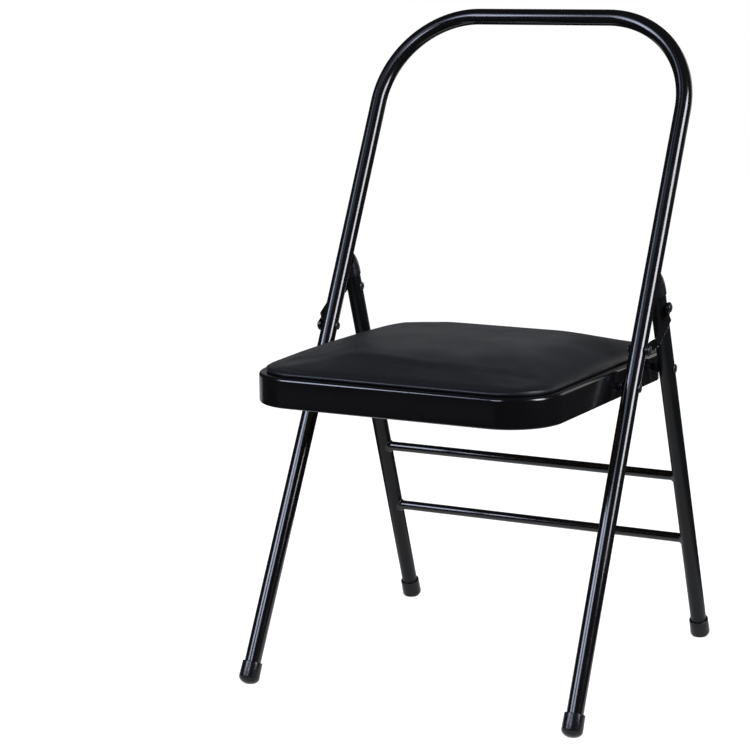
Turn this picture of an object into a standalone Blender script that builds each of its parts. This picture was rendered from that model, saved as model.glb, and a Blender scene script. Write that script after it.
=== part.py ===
# Folding yoga chair: one bent front frame, a pair of rear legs joined by two rungs, a padded
# pressed-steel seat hinged on both, and two bowed links that let the whole chair fold flat.
# Sizes are in metres. X runs across the chair, Y from front to back and Z up.

import math

import bmesh
import bpy
from mathutils import Matrix, Vector

# Overall sizes
chair_height = 0.7975
frame_width = 0.436
front_lean = math.radians(26.2)
rear_lean = math.radians(19.0)
front_splay = 0.005
rear_splay = 0.0027
arch_radius = 0.119

# Tube stock
tube_diameter = 0.020
tube_wall = 0.0012
rung_diameter = 0.012
rung_wall = 0.0010
lower_rung_along = 0.1477
upper_rung_along = 0.2397

# Pivots
seat_pivot_height = 0.3674
seat_pivot_spacing = 0.1117
seat_pivot_rise = 0.0048
link_pivot_above_seat = 0.0462
link_pivot_below_cap = 0.0255

# Seat pan
seat_side_gap = 0.0065
seat_widening = 0.0018
seat_depth = 0.380
seat_front_reach = 0.221
pan_height = 0.0355
sheet_thickness = 0.0012
front_corner_radius = 0.064
rear_corner_radius = 0.037
least_corner_radius = 0.004
rim_bend_radius = 0.0040
hem_bend_radius = 0.0030
rim_flange = 0.026
hem_flange = 0.009

# Seat board and cushion
board_thickness = 0.006
cushion_inset = 0.0076
cushion_draw_in = 0.0030
cushion_wall = 0.0018
cushion_widest_height = 0.0036
cushion_roll_width = 0.020
cushion_roll_height = 0.0054
cushion_crown = 0.025
crown_power = 2.2

# Rivets, bushes, washers and screws
rivet_diameter = 0.006
rivet_head_diameter = 0.011
rivet_head_height = 0.0022
washer_diameter = 0.0125
bush_wide_diameter = 0.0125
bush_narrow_diameter = 0.0095
plate_thickness = 0.0020
plate_margin = 0.0023
screw_diameter = 0.004
screw_length = 0.0062
screw_head_diameter = 0.008
screw_head_height = 0.0024
screw_from_edge = 0.0185
screw_past_corner = 0.0175

# Links, which bow outwards past the leg caps and the seat rivets
link_standoff = 0.0020
link_width = 0.0140
link_thickness = 0.0018
link_bow = 0.0062
link_flat_end = 0.0075
link_ramp = 0.0145
link_bend_radius = 0.0080

# Rubber feet and leg caps
foot_wall = 0.0023
foot_top_wall = 0.0019
foot_round = 0.0050
foot_length = 0.0235
foot_floor = 0.0045
foot_lip = 0.0007
foot_flat_depth = 0.0010
cap_wall = 0.0007
cap_skirt = 0.0085

# Fits: parts that touch keep this gap, and a hole's radius is larger than its pin's by the fit
gap = 0.0003
hole_fit = 0.0003

# Facets
tube_sides = 20
rung_sides = 16
foot_steps = 24
rivet_steps = 16
arch_steps = 10
corner_steps = 7
edge_steps = 4
bend_steps = 4
dome_steps = 6
strap_end_steps = 8
cushion_rings = 8

# Worked out from the sizes above
tube_radius = tube_diameter / 2
rivet_radius = rivet_diameter / 2
hole_radius = rivet_radius + hole_fit
sleeve_radius = tube_radius + gap
foot_radius = sleeve_radius + foot_wall
cap_radius = sleeve_radius + cap_wall
fold_angle = front_lean + rear_lean
tube_half = frame_width / 2 - tube_radius
top_along = (chair_height - tube_radius) / math.cos(front_lean)
seat_pivot_along = seat_pivot_height / math.cos(front_lean)
link_pivot_along = seat_pivot_along + link_pivot_above_seat
rear_pivot_height = seat_pivot_height + seat_pivot_rise
rear_pivot_run = math.sqrt(seat_pivot_spacing ** 2 - seat_pivot_rise ** 2)
rear_pivot_along = rear_pivot_height / math.cos(rear_lean)
seat_pivot_run = seat_pivot_height * math.tan(front_lean)
leg_spread = seat_pivot_run + rear_pivot_run + rear_pivot_height * math.tan(rear_lean)
crossing_along = leg_spread * math.cos(front_lean) / math.sin(fold_angle)
cap_along = crossing_along - (tube_radius + cap_radius + gap) / math.sin(fold_angle)
rear_link_along = cap_along - link_pivot_below_cap
seat_half_width = frame_width / 2 - tube_diameter - seat_side_gap
wall_height = pan_height - rim_bend_radius - hem_bend_radius
pivot_below_rim = rim_bend_radius + (wall_height + seat_pivot_rise) / 2
plate_width = wall_height - seat_pivot_rise - 2 * plate_margin
seat_middle = seat_depth / 2 - seat_front_reach
link_inner_face = tube_half + tube_radius + link_standoff
link_outer_face = link_inner_face + link_thickness
recess_inset = cushion_inset + cushion_draw_in + cushion_wall


# How far along a leaning leg its foot starts. The foot's lowest edge is then just below the
# floor by the depth that the chair's weight presses flat.
def foot_start(lean):
    ring = foot_radius - foot_round
    return (foot_round + ring * math.sin(lean) - foot_flat_depth) / math.cos(lean) - foot_round


# The origin is on the floor, half way between the seat's front edge and the rear heels.
heel_along = foot_start(rear_lean) + foot_round
heel_reach = (foot_radius - foot_round) * math.cos(rear_lean) + foot_round
heel_run = leg_spread - heel_along * math.sin(rear_lean) + heel_reach
front_floor_y = -(seat_pivot_run - seat_front_reach + heel_run) / 2
seat_pivot_y = front_floor_y + seat_pivot_run
rear_pivot_y = seat_pivot_y + rear_pivot_run


def front_half(along):
    return tube_half + front_splay * max(0.0, 1 - along / seat_pivot_along)


def rear_half(along):
    return tube_half + rear_splay * (1 - along / cap_along)


def seat_half_at(run):
    return seat_half_width + seat_widening * (run - seat_middle) / seat_depth


# Scene and objects

def clear_scene():
    for item in list(bpy.data.objects):
        bpy.data.objects.remove(item, do_unlink=True)


def make_material(name, colour, roughness, metallic=0.0):
    material = bpy.data.materials.new(name)
    material.use_nodes = True
    shader = material.node_tree.nodes["Principled BSDF"]
    shader.inputs["Base Color"].default_value = (*colour, 1.0)
    shader.inputs["Roughness"].default_value = roughness
    shader.inputs["Metallic"].default_value = metallic
    material.diffuse_color = (*colour, 1.0)
    return material


def make_axis(name, y, z, lean=0.0):
    axis = bpy.data.objects.new(name, None)
    axis.empty_display_size = 0.03
    axis.location = (0.0, y, z)
    axis.rotation_euler = (lean, 0.0, 0.0)
    bpy.context.scene.collection.objects.link(axis)
    return axis


def add_object(name, mesh, material=None, parent=None, location=(0, 0, 0), along=None):
    item = bpy.data.objects.new(name, mesh)
    bpy.context.scene.collection.objects.link(item)
    item.parent = parent
    item.location = location
    if along is not None:
        item.rotation_mode = "QUATERNION"
        item.rotation_quaternion = towards(along)
    if material is not None:
        mesh.materials.append(material)
        mesh.shade_smooth()
        mesh.set_sharp_from_angle(angle=math.radians(35))
    return item


def towards(direction):
    return Vector(direction).to_track_quat("Z", "Y")


def finish_mesh(shape, name):
    bmesh.ops.remove_doubles(shape, verts=shape.verts, dist=1e-6)
    bmesh.ops.recalc_face_normals(shape, faces=shape.faces)
    mesh = bpy.data.meshes.new(name)
    shape.to_mesh(mesh)
    shape.free()
    return mesh


# Shapes

def arc_points(centre, radius, start, end, steps):
    points = []
    for step in range(steps + 1):
        angle = math.radians(start + (end - start) * step / steps)
        points.append((centre[0] + radius * math.cos(angle), centre[1] + radius * math.sin(angle)))
    return points


def quarter_turn(steps):
    return [math.pi / 2 * step / steps for step in range(steps + 1)]


# A turned piece. The profile lists radius and height, and either is a ring or ends on the axis.
def turned_mesh(name, profile, steps, ring=False):
    shape = bmesh.new()
    points = [shape.verts.new((radius, 0.0, height)) for radius, height in profile]
    edges = [shape.edges.new(pair) for pair in zip(points, points[1:])]
    if ring:
        edges.append(shape.edges.new((points[-1], points[0])))
    bmesh.ops.spin(shape, geom=points + edges, axis=(0, 0, 1), cent=(0, 0, 0),
                   steps=steps, angle=2 * math.pi)
    return finish_mesh(shape, name)


# The outer skin of a tube along a path, from a bevelled curve without end caps.
def tube_skin(name, path, radius, sides):
    curve = bpy.data.curves.new(name, "CURVE")
    curve.dimensions = "3D"
    curve.bevel_depth = radius
    curve.bevel_resolution = (sides - 4) // 2
    spline = curve.splines.new("POLY")
    spline.points.add(len(path) - 1)
    for point, place in zip(spline.points, path):
        point.co = (*place, 1.0)
    carrier = bpy.data.objects.new(name, curve)
    bpy.context.scene.collection.objects.link(carrier)
    graph = bpy.context.evaluated_depsgraph_get()
    skin = bpy.data.meshes.new_from_object(carrier.evaluated_get(graph))
    shape = bmesh.new()
    shape.from_mesh(skin)
    bpy.data.objects.remove(carrier, do_unlink=True)
    bpy.data.curves.remove(curve)
    bpy.data.meshes.remove(skin)
    return finish_mesh(shape, name)


def add_tube(name, path, radius, sides, wall_thickness, material, parent):
    tube = add_object(name, tube_skin(name, path, radius, sides), material, parent)
    wall = tube.modifiers.new("wall", "SOLIDIFY")
    wall.thickness = wall_thickness
    wall.offset = -1.0
    wall.use_even_offset = True
    wall.use_quality_normals = True
    return tube


def prism_mesh(name, lower, upper):
    shape = bmesh.new()
    bottom = [shape.verts.new(point) for point in lower]
    top = [shape.verts.new(point) for point in upper]
    shape.faces.new(bottom)
    shape.faces.new(top)
    for index in range(len(bottom)):
        after = (index + 1) % len(bottom)
        shape.faces.new((bottom[index], bottom[after], top[after], top[index]))
    return finish_mesh(shape, name)


# Two half circles and the straight sides between them, in the YZ plane.
def stadium_outline(start, end, radius):
    direction = math.degrees(math.atan2(end[1] - start[1], end[0] - start[0]))
    outline = arc_points(end, radius, direction - 90, direction + 90, strap_end_steps)
    outline += arc_points(start, radius, direction + 90, direction + 270, strap_end_steps)
    return outline


# Cuts

def hide_cutter(cutter):
    cutter.hide_render = True
    cutter.display_type = "WIRE"


def combine(item, cutter, operation="DIFFERENCE"):
    hide_cutter(cutter)
    cut = item.modifiers.new(cutter.name, "BOOLEAN")
    cut.operation = operation
    cut.object = cutter


# Cuts round holes. Each pin is its centre, direction, radius and length.
def cut_pins(item, name, pins, parent, steps=rivet_steps):
    shape = bmesh.new()
    for centre, direction, radius, length in pins:
        turn = towards(direction).to_matrix().to_4x4()
        bmesh.ops.create_cone(shape, cap_ends=True, segments=steps, radius1=radius,
                              radius2=radius, depth=length,
                              matrix=Matrix.Translation(centre) @ turn)
    combine(item, add_object(name, finish_mesh(shape, name), parent=parent))


# Front frame. Its empty stands where the legs' middle line meets the floor, Z up the legs.

def front_path():
    start = foot_start(front_lean) + foot_floor + gap
    right = [(front_half(start), start), (tube_half, seat_pivot_along)]
    corner = (tube_half - arch_radius, top_along - arch_radius)
    right += arc_points(corner, arch_radius, 0, 90, arch_steps)
    left = [(-x, z) for x, z in reversed(right)]
    return [(x, 0.0, z) for x, z in right + left]


def add_front_frame(axis, paint):
    tube = add_tube("front_frame_tube", front_path(), tube_radius, tube_sides, tube_wall,
                    paint, axis)
    pins = []
    for side in (-1, 1):
        for along in (seat_pivot_along, link_pivot_along):
            pins.append(((side * tube_half, 0, along), (1, 0, 0), hole_radius,
                         2 * tube_diameter))
    cut_pins(tube, "front_tube_holes", pins, axis)


# Rear legs and rungs. Their empty is on the rear seat pivot, Z up the legs.

def rear_place(side, along):
    return (side * rear_half(along), 0.0, along - rear_pivot_along)


def add_rear_legs(axis, paint):
    start = foot_start(rear_lean) + foot_floor + gap
    for side, word in sides:
        name = "rear_leg_" + word
        path = [rear_place(side, start), rear_place(side, cap_along - gap)]
        leg = add_tube(name, path, tube_radius, tube_sides, tube_wall, paint, axis)
        pins = []
        for along in (rear_pivot_along, rear_link_along):
            pins.append((rear_place(side, along), (1, 0, 0), hole_radius, 2 * tube_diameter))
        cut_pins(leg, name + "_holes", pins, axis)


def add_rungs(axis, paint):
    for word, along in (("lower", lower_rung_along), ("upper", upper_rung_along)):
        name = "rung_" + word
        ends = [rear_place(-1, along), rear_place(1, along)]
        rung = add_tube(name, ends, rung_diameter / 2, rung_sides, rung_wall, paint, axis)
        pins = []
        for side in (-1, 1):
            pins.append((rear_place(side, along), (-side * rear_splay, 0, cap_along),
                         sleeve_radius, 2 * tube_diameter))
        cut_pins(rung, name + "_copes", pins, axis, 2 * tube_sides)


# Rubber feet and leg caps

def foot_profile():
    top_radius = sleeve_radius + foot_top_wall
    profile = [(0.0, 0.0)]
    profile += arc_points((foot_radius - foot_round, foot_round), foot_round, -90, 0, bend_steps)
    profile += [(top_radius, foot_length - foot_lip), (top_radius - foot_lip, foot_length)]
    profile += [(sleeve_radius, foot_length), (sleeve_radius, foot_floor), (0.0, foot_floor)]
    return profile


def add_floor_cutter():
    shape = bmesh.new()
    size = 2 * (frame_width + leg_spread)
    bmesh.ops.create_cube(shape, size=1.0, matrix=Matrix.Diagonal((size, size, foot_length, 1.0)))
    cutter = add_object("floor_cutter", finish_mesh(shape, "floor_cutter"))
    cutter.location = (0.0, 0.0, -foot_length / 2)
    return cutter


def add_feet(front_axis, rear_axis, rubber):
    floor_cutter = add_floor_cutter()
    front_start = foot_start(front_lean)
    rear_start = foot_start(rear_lean)
    for side, word in sides:
        places = (
            ("front_foot_" + word, front_axis, (side * front_half(front_start), 0, front_start),
             (-side * front_splay, 0, seat_pivot_along)),
            ("rear_foot_" + word, rear_axis, rear_place(side, rear_start),
             (-side * rear_splay, 0, cap_along)),
        )
        for name, axis, location, along in places:
            mesh = turned_mesh(name, foot_profile(), foot_steps)
            combine(add_object(name, mesh, rubber, axis, location, along), floor_cutter)


def cap_profile():
    bore = [(0.0, cap_skirt), (sleeve_radius, cap_skirt), (sleeve_radius, 0.0)]
    return bore + [(cap_radius, 0.0)] + arc_points((0.0, cap_skirt), cap_radius, 0, 90, dome_steps)


def add_caps(axis, plastic):
    for side, word in sides:
        name = "leg_cap_" + word
        add_object(name, turned_mesh(name, cap_profile(), foot_steps), plastic, axis,
                   rear_place(side, cap_along - cap_skirt), (-side * rear_splay, 0, cap_along))


# Seat, in the frame of an empty on its front pivots. Heights in the sections are from the rim.

# A rounded outline drawn in from the seat's outer face, anticlockwise from the front right corner.
def seat_outline(inset, divisions):
    corners = ((1, -1, front_corner_radius, -90), (1, 1, rear_corner_radius, 0),
               (-1, 1, rear_corner_radius, 90), (-1, -1, front_corner_radius, 180))
    rounded = []
    for across, back, corner_radius, start in corners:
        radius = max(corner_radius - inset, least_corner_radius)
        centre = (across * (seat_half_width - inset - radius),
                  seat_middle + back * (seat_depth / 2 - inset - radius))
        rounded.append(arc_points(centre, radius, start, start + 90, corner_steps))
    outline = []
    for corner, following in zip(rounded, rounded[1:] + rounded[:1]):
        outline += corner
        first, last = Vector(corner[-1]), Vector(following[0])
        outline += [tuple(first.lerp(last, step / divisions)) for step in range(1, divisions)]
    return [(x * seat_half_at(y) / seat_half_width, y) for x, y in outline]


def seat_loop(inset, height, divisions=1):
    return [(x, y, pivot_below_rim + height) for x, y in seat_outline(inset, divisions)]


def pan_section():
    inner_rim = rim_bend_radius - sheet_thickness
    inner_hem = hem_bend_radius - sheet_thickness
    rim_centre = (rim_bend_radius, -rim_bend_radius)
    hem_centre = (hem_bend_radius, hem_bend_radius - pan_height)
    section = [(hem_flange, -pan_height)]
    section += arc_points(hem_centre, hem_bend_radius, 270, 180, bend_steps)
    section += arc_points(rim_centre, rim_bend_radius, 180, 90, bend_steps)
    section += [(rim_flange, 0.0), (rim_flange, -sheet_thickness)]
    section += arc_points(rim_centre, inner_rim, 90, 180, bend_steps)
    section += arc_points(hem_centre, inner_hem, 180, 270, bend_steps)
    section += [(hem_flange, sheet_thickness - pan_height)]
    return section


# Loops of equal length, joined one to the next. Open ends are filled, or the last joins the first.
def lofted_mesh(name, loops, ring=False):
    shape = bmesh.new()
    rows = [[shape.verts.new(point) for point in loop] for loop in loops]
    pairs = list(zip(rows, rows[1:]))
    if ring:
        pairs.append((rows[-1], rows[0]))
    else:
        shape.faces.new(rows[0])
        shape.faces.new(rows[-1])
    for low, high in pairs:
        for index in range(len(low)):
            after = (index + 1) % len(low)
            shape.faces.new((low[index], low[after], high[after], high[index]))
    return finish_mesh(shape, name)


def screw_places():
    side = seat_half_width - screw_from_edge
    corner_side = seat_half_width - front_corner_radius - screw_past_corner
    corner_run = seat_depth / 2 - screw_from_edge
    places = [(-side, seat_middle), (side, seat_middle)]
    for run in (seat_middle - corner_run, seat_middle + corner_run):
        places += [(-corner_side, run), (corner_side, run)]
    return places


def pivot_places():
    return ((0.0, 0.0), (rear_pivot_run, seat_pivot_rise))


def pivot_pins(side):
    pins = []
    for y, z in pivot_places():
        pins.append(((side * seat_half_at(y), y, z), (1, 0, 0), hole_radius, 3 * seat_side_gap))
    return pins


def add_pan(axis, paint):
    loops = [seat_loop(inset, height) for inset, height in pan_section()]
    pan = add_object("seat_pan", lofted_mesh("seat_pan", loops, ring=True), paint, axis)
    pins = pivot_pins(-1) + pivot_pins(1)
    for x, y in screw_places():
        pins.append(((x, y, pivot_below_rim), (0, 0, 1), screw_diameter / 2 + hole_fit,
                     4 * sheet_thickness))
    cut_pins(pan, "pan_holes", pins, axis)


# Plates inside the pan's side walls that carry both seat pivots and follow the walls' taper.
def add_pivot_plates(axis, steel):
    for side, word in sides:
        name = "pivot_plate_" + word
        outline = stadium_outline(*pivot_places(), plate_width / 2)
        faces = []
        for depth in (plate_thickness, 0.0):
            inset = sheet_thickness + gap + depth
            faces.append([(side * (seat_half_at(y) - inset), y, z) for y, z in outline])
        plate = add_object(name, prism_mesh(name, *faces), steel, axis)
        cut_pins(plate, name + "_holes", pivot_pins(side), axis)


def add_board(axis, plywood):
    inset = recess_inset + gap
    loops = [seat_loop(inset, height) for height in (gap, gap + board_thickness)]
    board = add_object("seat_board", prism_mesh("seat_board", *loops), plywood, axis)
    depth = screw_length - sheet_thickness - gap
    bottom = pivot_below_rim + gap
    pins = [((x, y, bottom), (0, 0, 1), screw_diameter / 2 + hole_fit, 2 * depth)
            for x, y in screw_places()]
    cut_pins(board, "board_holes", pins, axis)


def add_screws(axis, steel):
    head = screw_head_diameter / 2
    shank = screw_diameter / 2
    profile = [(head * math.sin(angle), -screw_head_height * math.cos(angle))
               for angle in quarter_turn(bend_steps - 1)]
    profile += [(shank, 0.0), (shank, screw_length - shank / 2), (0.0, screw_length)]
    for number, (x, y) in enumerate(screw_places(), 1):
        name = "board_screw_" + str(number)
        add_object(name, turned_mesh(name, profile, rivet_steps), steel, axis,
                   (x, y, pivot_below_rim - sheet_thickness - gap))


# The cushion's cover is drawn in under its edge, rolls over and rises to a crown.
def cushion_profile():
    ceiling = 2 * gap + board_thickness
    top = cushion_widest_height + cushion_roll_height
    profile = [(recess_inset, ceiling, 0), (recess_inset, gap, 0)]
    for angle in quarter_turn(bend_steps - 1):
        profile.append((cushion_inset + cushion_draw_in * (1 - math.sin(angle)),
                        gap + (cushion_widest_height - gap) * (1 - math.cos(angle)), 0))
    for angle in quarter_turn(bend_steps + 1)[1:]:
        profile.append((cushion_inset + cushion_roll_width * (1 - math.cos(angle)),
                        cushion_widest_height + cushion_roll_height * math.sin(angle), 1))
    start = cushion_inset + cushion_roll_width
    reach = min(seat_half_width, seat_depth / 2) - 2 * least_corner_radius - start
    for ring in range(1, cushion_rings + 1):
        profile.append((start + reach * ring / cushion_rings, top, 1))
    return profile


def crown_at(x, y):
    across = abs(x) / (seat_half_width - cushion_inset)
    along = abs(y - seat_middle) / (seat_depth / 2 - cushion_inset)
    falls = [1 - min(share, 1.0) ** crown_power for share in (across, along)]
    return cushion_crown * falls[0] * falls[1]


def add_cushion(axis, vinyl):
    loops = []
    for inset, height, crowned in cushion_profile():
        loop = seat_loop(inset, height, edge_steps)
        loops.append([(x, y, z + crowned * crown_at(x, y)) for x, y, z in loop])
    add_object("seat_cushion", lofted_mesh("seat_cushion", loops), vinyl, axis)


# Rivets and bushes, turned about X. Their local Z points outwards, and each starts at the
# underside of its outer head.

def dome(height_at_rim, direction):
    radius = rivet_head_diameter / 2
    edge = rivet_head_height / 4
    points = [(radius, height_at_rim)]
    for angle in quarter_turn(bend_steps - 1):
        rise = edge + (rivet_head_height - edge) * math.sin(angle)
        points.append((radius * math.cos(angle), height_at_rim + direction * rise))
    return points


def rivet_profile(grip):
    inner = list(reversed(dome(-grip, -1)))
    return inner + [(rivet_radius, -grip), (rivet_radius, 0.0)] + dome(0.0, 1)


def headed_pin_profile(grip):
    return [(0.0, -grip), (rivet_radius, -grip), (rivet_radius, 0.0)] + dome(0.0, 1)


def ring_profile(outer_radius, thickness, inner_end_radius):
    bore = rivet_radius + hole_fit
    return [(bore, 0.0), (outer_radius, 0.0), (inner_end_radius, -thickness), (bore, -thickness)]


def add_turned(name, profile, material, axis, side, x, y, z, ring=False):
    mesh = turned_mesh(name, profile, rivet_steps, ring)
    add_object(name, mesh, material, axis, (side * x, y, z), (side, 0, 0))


# A seat pivot: one rivet through the tube, a bush, the pan's wall and its plate.
def add_seat_pivot(word, side, tube_centre, run, axis, z, steel):
    pan_face = seat_half_at(run)
    outer = tube_centre + tube_radius + gap
    inner = pan_face - sheet_thickness - plate_thickness - 2 * gap
    add_turned("seat_rivet_" + word, rivet_profile(outer - inner), steel, axis, side, outer, 0, z)
    bush_outer = tube_centre - tube_radius - gap
    bush = ring_profile(bush_wide_diameter / 2, bush_outer - pan_face - gap,
                        bush_narrow_diameter / 2)
    add_turned("seat_bush_" + word, bush, steel, axis, side, bush_outer, 0, z, ring=True)


def add_washer(name, side, tube_face, axis, z, steel):
    thickness = link_inner_face - tube_face - 2 * gap
    profile = ring_profile(washer_diameter / 2, thickness, washer_diameter / 2)
    add_turned(name, profile, steel, axis, side, link_inner_face - gap, 0, z, ring=True)


def add_front_pivots(axis, steel):
    for side, word in sides:
        add_seat_pivot("front_" + word, side, tube_half, 0.0, axis, seat_pivot_along, steel)
        head = link_outer_face + gap
        grip = head - (tube_half - tube_radius - gap)
        add_turned("link_rivet_" + word, rivet_profile(grip), steel, axis, side, head, 0,
                   link_pivot_along)
        add_washer("link_washer_front_" + word, side, tube_half + tube_radius, axis,
                   link_pivot_along, steel)


# The rear end of each link turns on a rivet that stops short of the link.
def add_rear_pivots(axis, steel):
    for side, word in sides:
        add_seat_pivot("rear_" + word, side, rear_half(rear_pivot_along), rear_pivot_run, axis,
                       0.0, steel)
        centre = rear_half(rear_link_along)
        z = rear_link_along - rear_pivot_along
        inner = centre - tube_radius - gap
        profile = headed_pin_profile(link_inner_face - gap - inner)
        name = "leg_rivet_" + word
        mesh = turned_mesh(name, profile, rivet_steps)
        add_object(name, mesh, steel, axis, (side * inner, 0, z), (-side, 0, 0))
        add_washer("link_washer_rear_" + word, side, centre + tube_radius, axis, z, steel)


# Links. Each one's empty is on its front pivot, Z towards the rear pivot.

def rounded_path(corners, radius):
    path = [Vector(corners[0])]
    for before, corner, after in zip(corners, corners[1:], corners[2:]):
        corner = Vector(corner)
        back = (Vector(before) - corner).normalized()
        ahead = (Vector(after) - corner).normalized()
        half = back.angle(ahead) / 2
        centre = corner + (back + ahead).normalized() * radius / math.sin(half)
        start = corner + back * radius / math.tan(half) - centre
        end = corner + ahead * radius / math.tan(half) - centre
        for step in range(bend_steps + 1):
            path.append(centre + start.slerp(end, step / bend_steps) * radius)
    return path + [Vector(corners[-1])]


def strip_outline(path, thickness):
    sides_of_strip = ([], [])
    for index, point in enumerate(path):
        ahead = path[min(index + 1, len(path) - 1)] - path[max(index - 1, 0)]
        normal = Vector((-ahead.y, ahead.x)).normalized() * thickness / 2
        sides_of_strip[0].append(point + normal)
        sides_of_strip[1].append(point - normal)
    return sides_of_strip[0] + list(reversed(sides_of_strip[1]))


def link_path(length):
    over = link_width
    rise_start, rise_end = link_flat_end, link_flat_end + link_ramp
    return rounded_path([(-over, 0.0), (rise_start, 0.0), (rise_end, link_bow),
                         (length - rise_end, link_bow), (length - rise_start, 0.0),
                         (length + over, 0.0)], link_bend_radius)


def add_link(side, word, axis, length, paint, steel):
    name = "link_" + word
    middle = link_inner_face + link_thickness / 2
    outline = [(side * (middle + point.y), point.x)
               for point in strip_outline(link_path(length), link_thickness)]
    edges = [[(x, y, z) for x, z in outline] for y in (-link_width, link_width)]
    strap = add_object(name, prism_mesh(name, *edges), paint, axis)
    blank = stadium_outline((0.0, 0.0), (0.0, length), link_width / 2)
    reach = (side * (link_inner_face - link_bow), side * (link_outer_face + 2 * link_bow))
    faces = [[(x, y, z) for y, z in blank] for x in reach]
    blank_name = name + "_blank"
    combine(strap, add_object(blank_name, prism_mesh(blank_name, *faces), parent=axis), "INTERSECT")
    pins = [((side * middle, 0, z), (1, 0, 0), hole_radius, link_width) for z in (0.0, length)]
    cut_pins(strap, name + "_holes", pins, axis)
    add_turned("link_stud_" + word, headed_pin_profile(link_thickness + gap), steel, axis, side,
               link_outer_face + gap, 0, length)


def add_links(paint, steel):
    front_y = front_floor_y + link_pivot_along * math.sin(front_lean)
    front_z = link_pivot_along * math.cos(front_lean)
    rear_y = rear_pivot_y - (rear_link_along - rear_pivot_along) * math.sin(rear_lean)
    rear_z = rear_link_along * math.cos(rear_lean)
    run, rise = rear_y - front_y, rear_z - front_z
    for side, word in sides:
        axis = make_axis("link_axis_" + word, front_y, front_z, math.atan2(-run, rise))
        add_link(side, word, axis, math.hypot(run, rise), paint, steel)


sides = ((-1, "left"), (1, "right"))


def build_chair():
    clear_scene()
    enamel = make_material("gloss_black_enamel", (0.008, 0.009, 0.012), 0.14)
    satin = make_material("satin_black_enamel", (0.016, 0.017, 0.019), 0.38)
    vinyl = make_material("black_vinyl", (0.022, 0.023, 0.026), 0.42)
    rubber = make_material("black_rubber", (0.015, 0.015, 0.016), 0.62)
    plastic = make_material("black_plastic", (0.013, 0.013, 0.014), 0.30)
    steel = make_material("blackened_steel", (0.020, 0.020, 0.022), 0.35, 0.6)
    plywood = make_material("plywood", (0.42, 0.28, 0.15), 0.70)
    front_axis = make_axis("front_axis", front_floor_y, 0.0, -front_lean)
    rear_axis = make_axis("rear_axis", rear_pivot_y, rear_pivot_height, rear_lean)
    seat_axis = make_axis("seat_axis", seat_pivot_y, seat_pivot_height)
    add_front_frame(front_axis, enamel)
    add_rear_legs(rear_axis, satin)
    add_rungs(rear_axis, enamel)
    add_feet(front_axis, rear_axis, rubber)
    add_caps(rear_axis, plastic)
    add_pan(seat_axis, enamel)
    add_pivot_plates(seat_axis, steel)
    add_board(seat_axis, plywood)
    add_screws(seat_axis, steel)
    add_cushion(seat_axis, vinyl)
    add_front_pivots(front_axis, steel)
    add_rear_pivots(rear_axis, steel)
    add_links(enamel, steel)
    bpy.context.view_layer.update()


build_chair()
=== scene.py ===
# Looks of the folding yoga chair: smooth tubes, pressed pan, padded seat, rivets, rubber feet
# and finishes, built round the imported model. Metres; X across, Y to the back, Z up.

import math

import bmesh
import bpy
from mathutils import Matrix, Vector, kdtree, noise


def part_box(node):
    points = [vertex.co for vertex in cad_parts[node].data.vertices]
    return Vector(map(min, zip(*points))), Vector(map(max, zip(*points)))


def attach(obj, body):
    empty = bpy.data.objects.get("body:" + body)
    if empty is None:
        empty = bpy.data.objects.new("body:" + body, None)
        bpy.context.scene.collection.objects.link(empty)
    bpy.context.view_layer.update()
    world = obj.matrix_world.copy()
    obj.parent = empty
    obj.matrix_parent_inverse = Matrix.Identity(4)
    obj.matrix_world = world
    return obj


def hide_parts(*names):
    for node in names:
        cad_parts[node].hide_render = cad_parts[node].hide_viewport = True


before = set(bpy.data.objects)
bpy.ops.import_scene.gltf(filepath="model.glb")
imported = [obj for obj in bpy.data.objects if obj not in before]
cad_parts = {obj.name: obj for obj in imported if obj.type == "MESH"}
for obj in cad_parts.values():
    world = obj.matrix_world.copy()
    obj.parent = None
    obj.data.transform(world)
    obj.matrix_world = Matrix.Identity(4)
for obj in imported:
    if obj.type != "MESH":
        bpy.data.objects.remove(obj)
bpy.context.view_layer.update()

# Sizes that several pieces share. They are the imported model's own.
chair = {
    "height": 0.7975,
    "width": 0.436,
    "frontLean": math.radians(26.2),
    "rearLean": math.radians(19.0),
    "frontSplay": 0.005,
    "rearSplay": 0.0027,
    "tubeRadius": 0.010,
    "seatPivotHeight": 0.3674,
    "seatPivotSpacing": 0.1117,
    "seatPivotRise": 0.0048,
    "linkPivotAboveSeat": 0.0462,
    "linkPivotBelowCap": 0.0255,
    "seatFrontReach": 0.221,
    "gap": 0.0003,
    "mergeWithin": 0.000001,
}
sides = ((-1, "left"), (1, "right"))

tubeRadius = chair["tubeRadius"]
gap = chair["gap"]
sleeveRadius = tubeRadius + gap
tubeHalf = chair["width"] / 2 - tubeRadius
topAlong = (chair["height"] - tubeRadius) / math.cos(chair["frontLean"])
seatPivotAlong = chair["seatPivotHeight"] / math.cos(chair["frontLean"])
linkPivotAlong = seatPivotAlong + chair["linkPivotAboveSeat"]
seatPivotRun = chair["seatPivotHeight"] * math.tan(chair["frontLean"])
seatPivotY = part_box("seat_pan")[0][1] + chair["seatFrontReach"]
frontFloorY = seatPivotY - seatPivotRun
rearPivotRun = math.sqrt(chair["seatPivotSpacing"] ** 2 - chair["seatPivotRise"] ** 2)
rearPivotHeight = chair["seatPivotHeight"] + chair["seatPivotRise"]
rearPivotAlong = rearPivotHeight / math.cos(chair["rearLean"])

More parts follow.
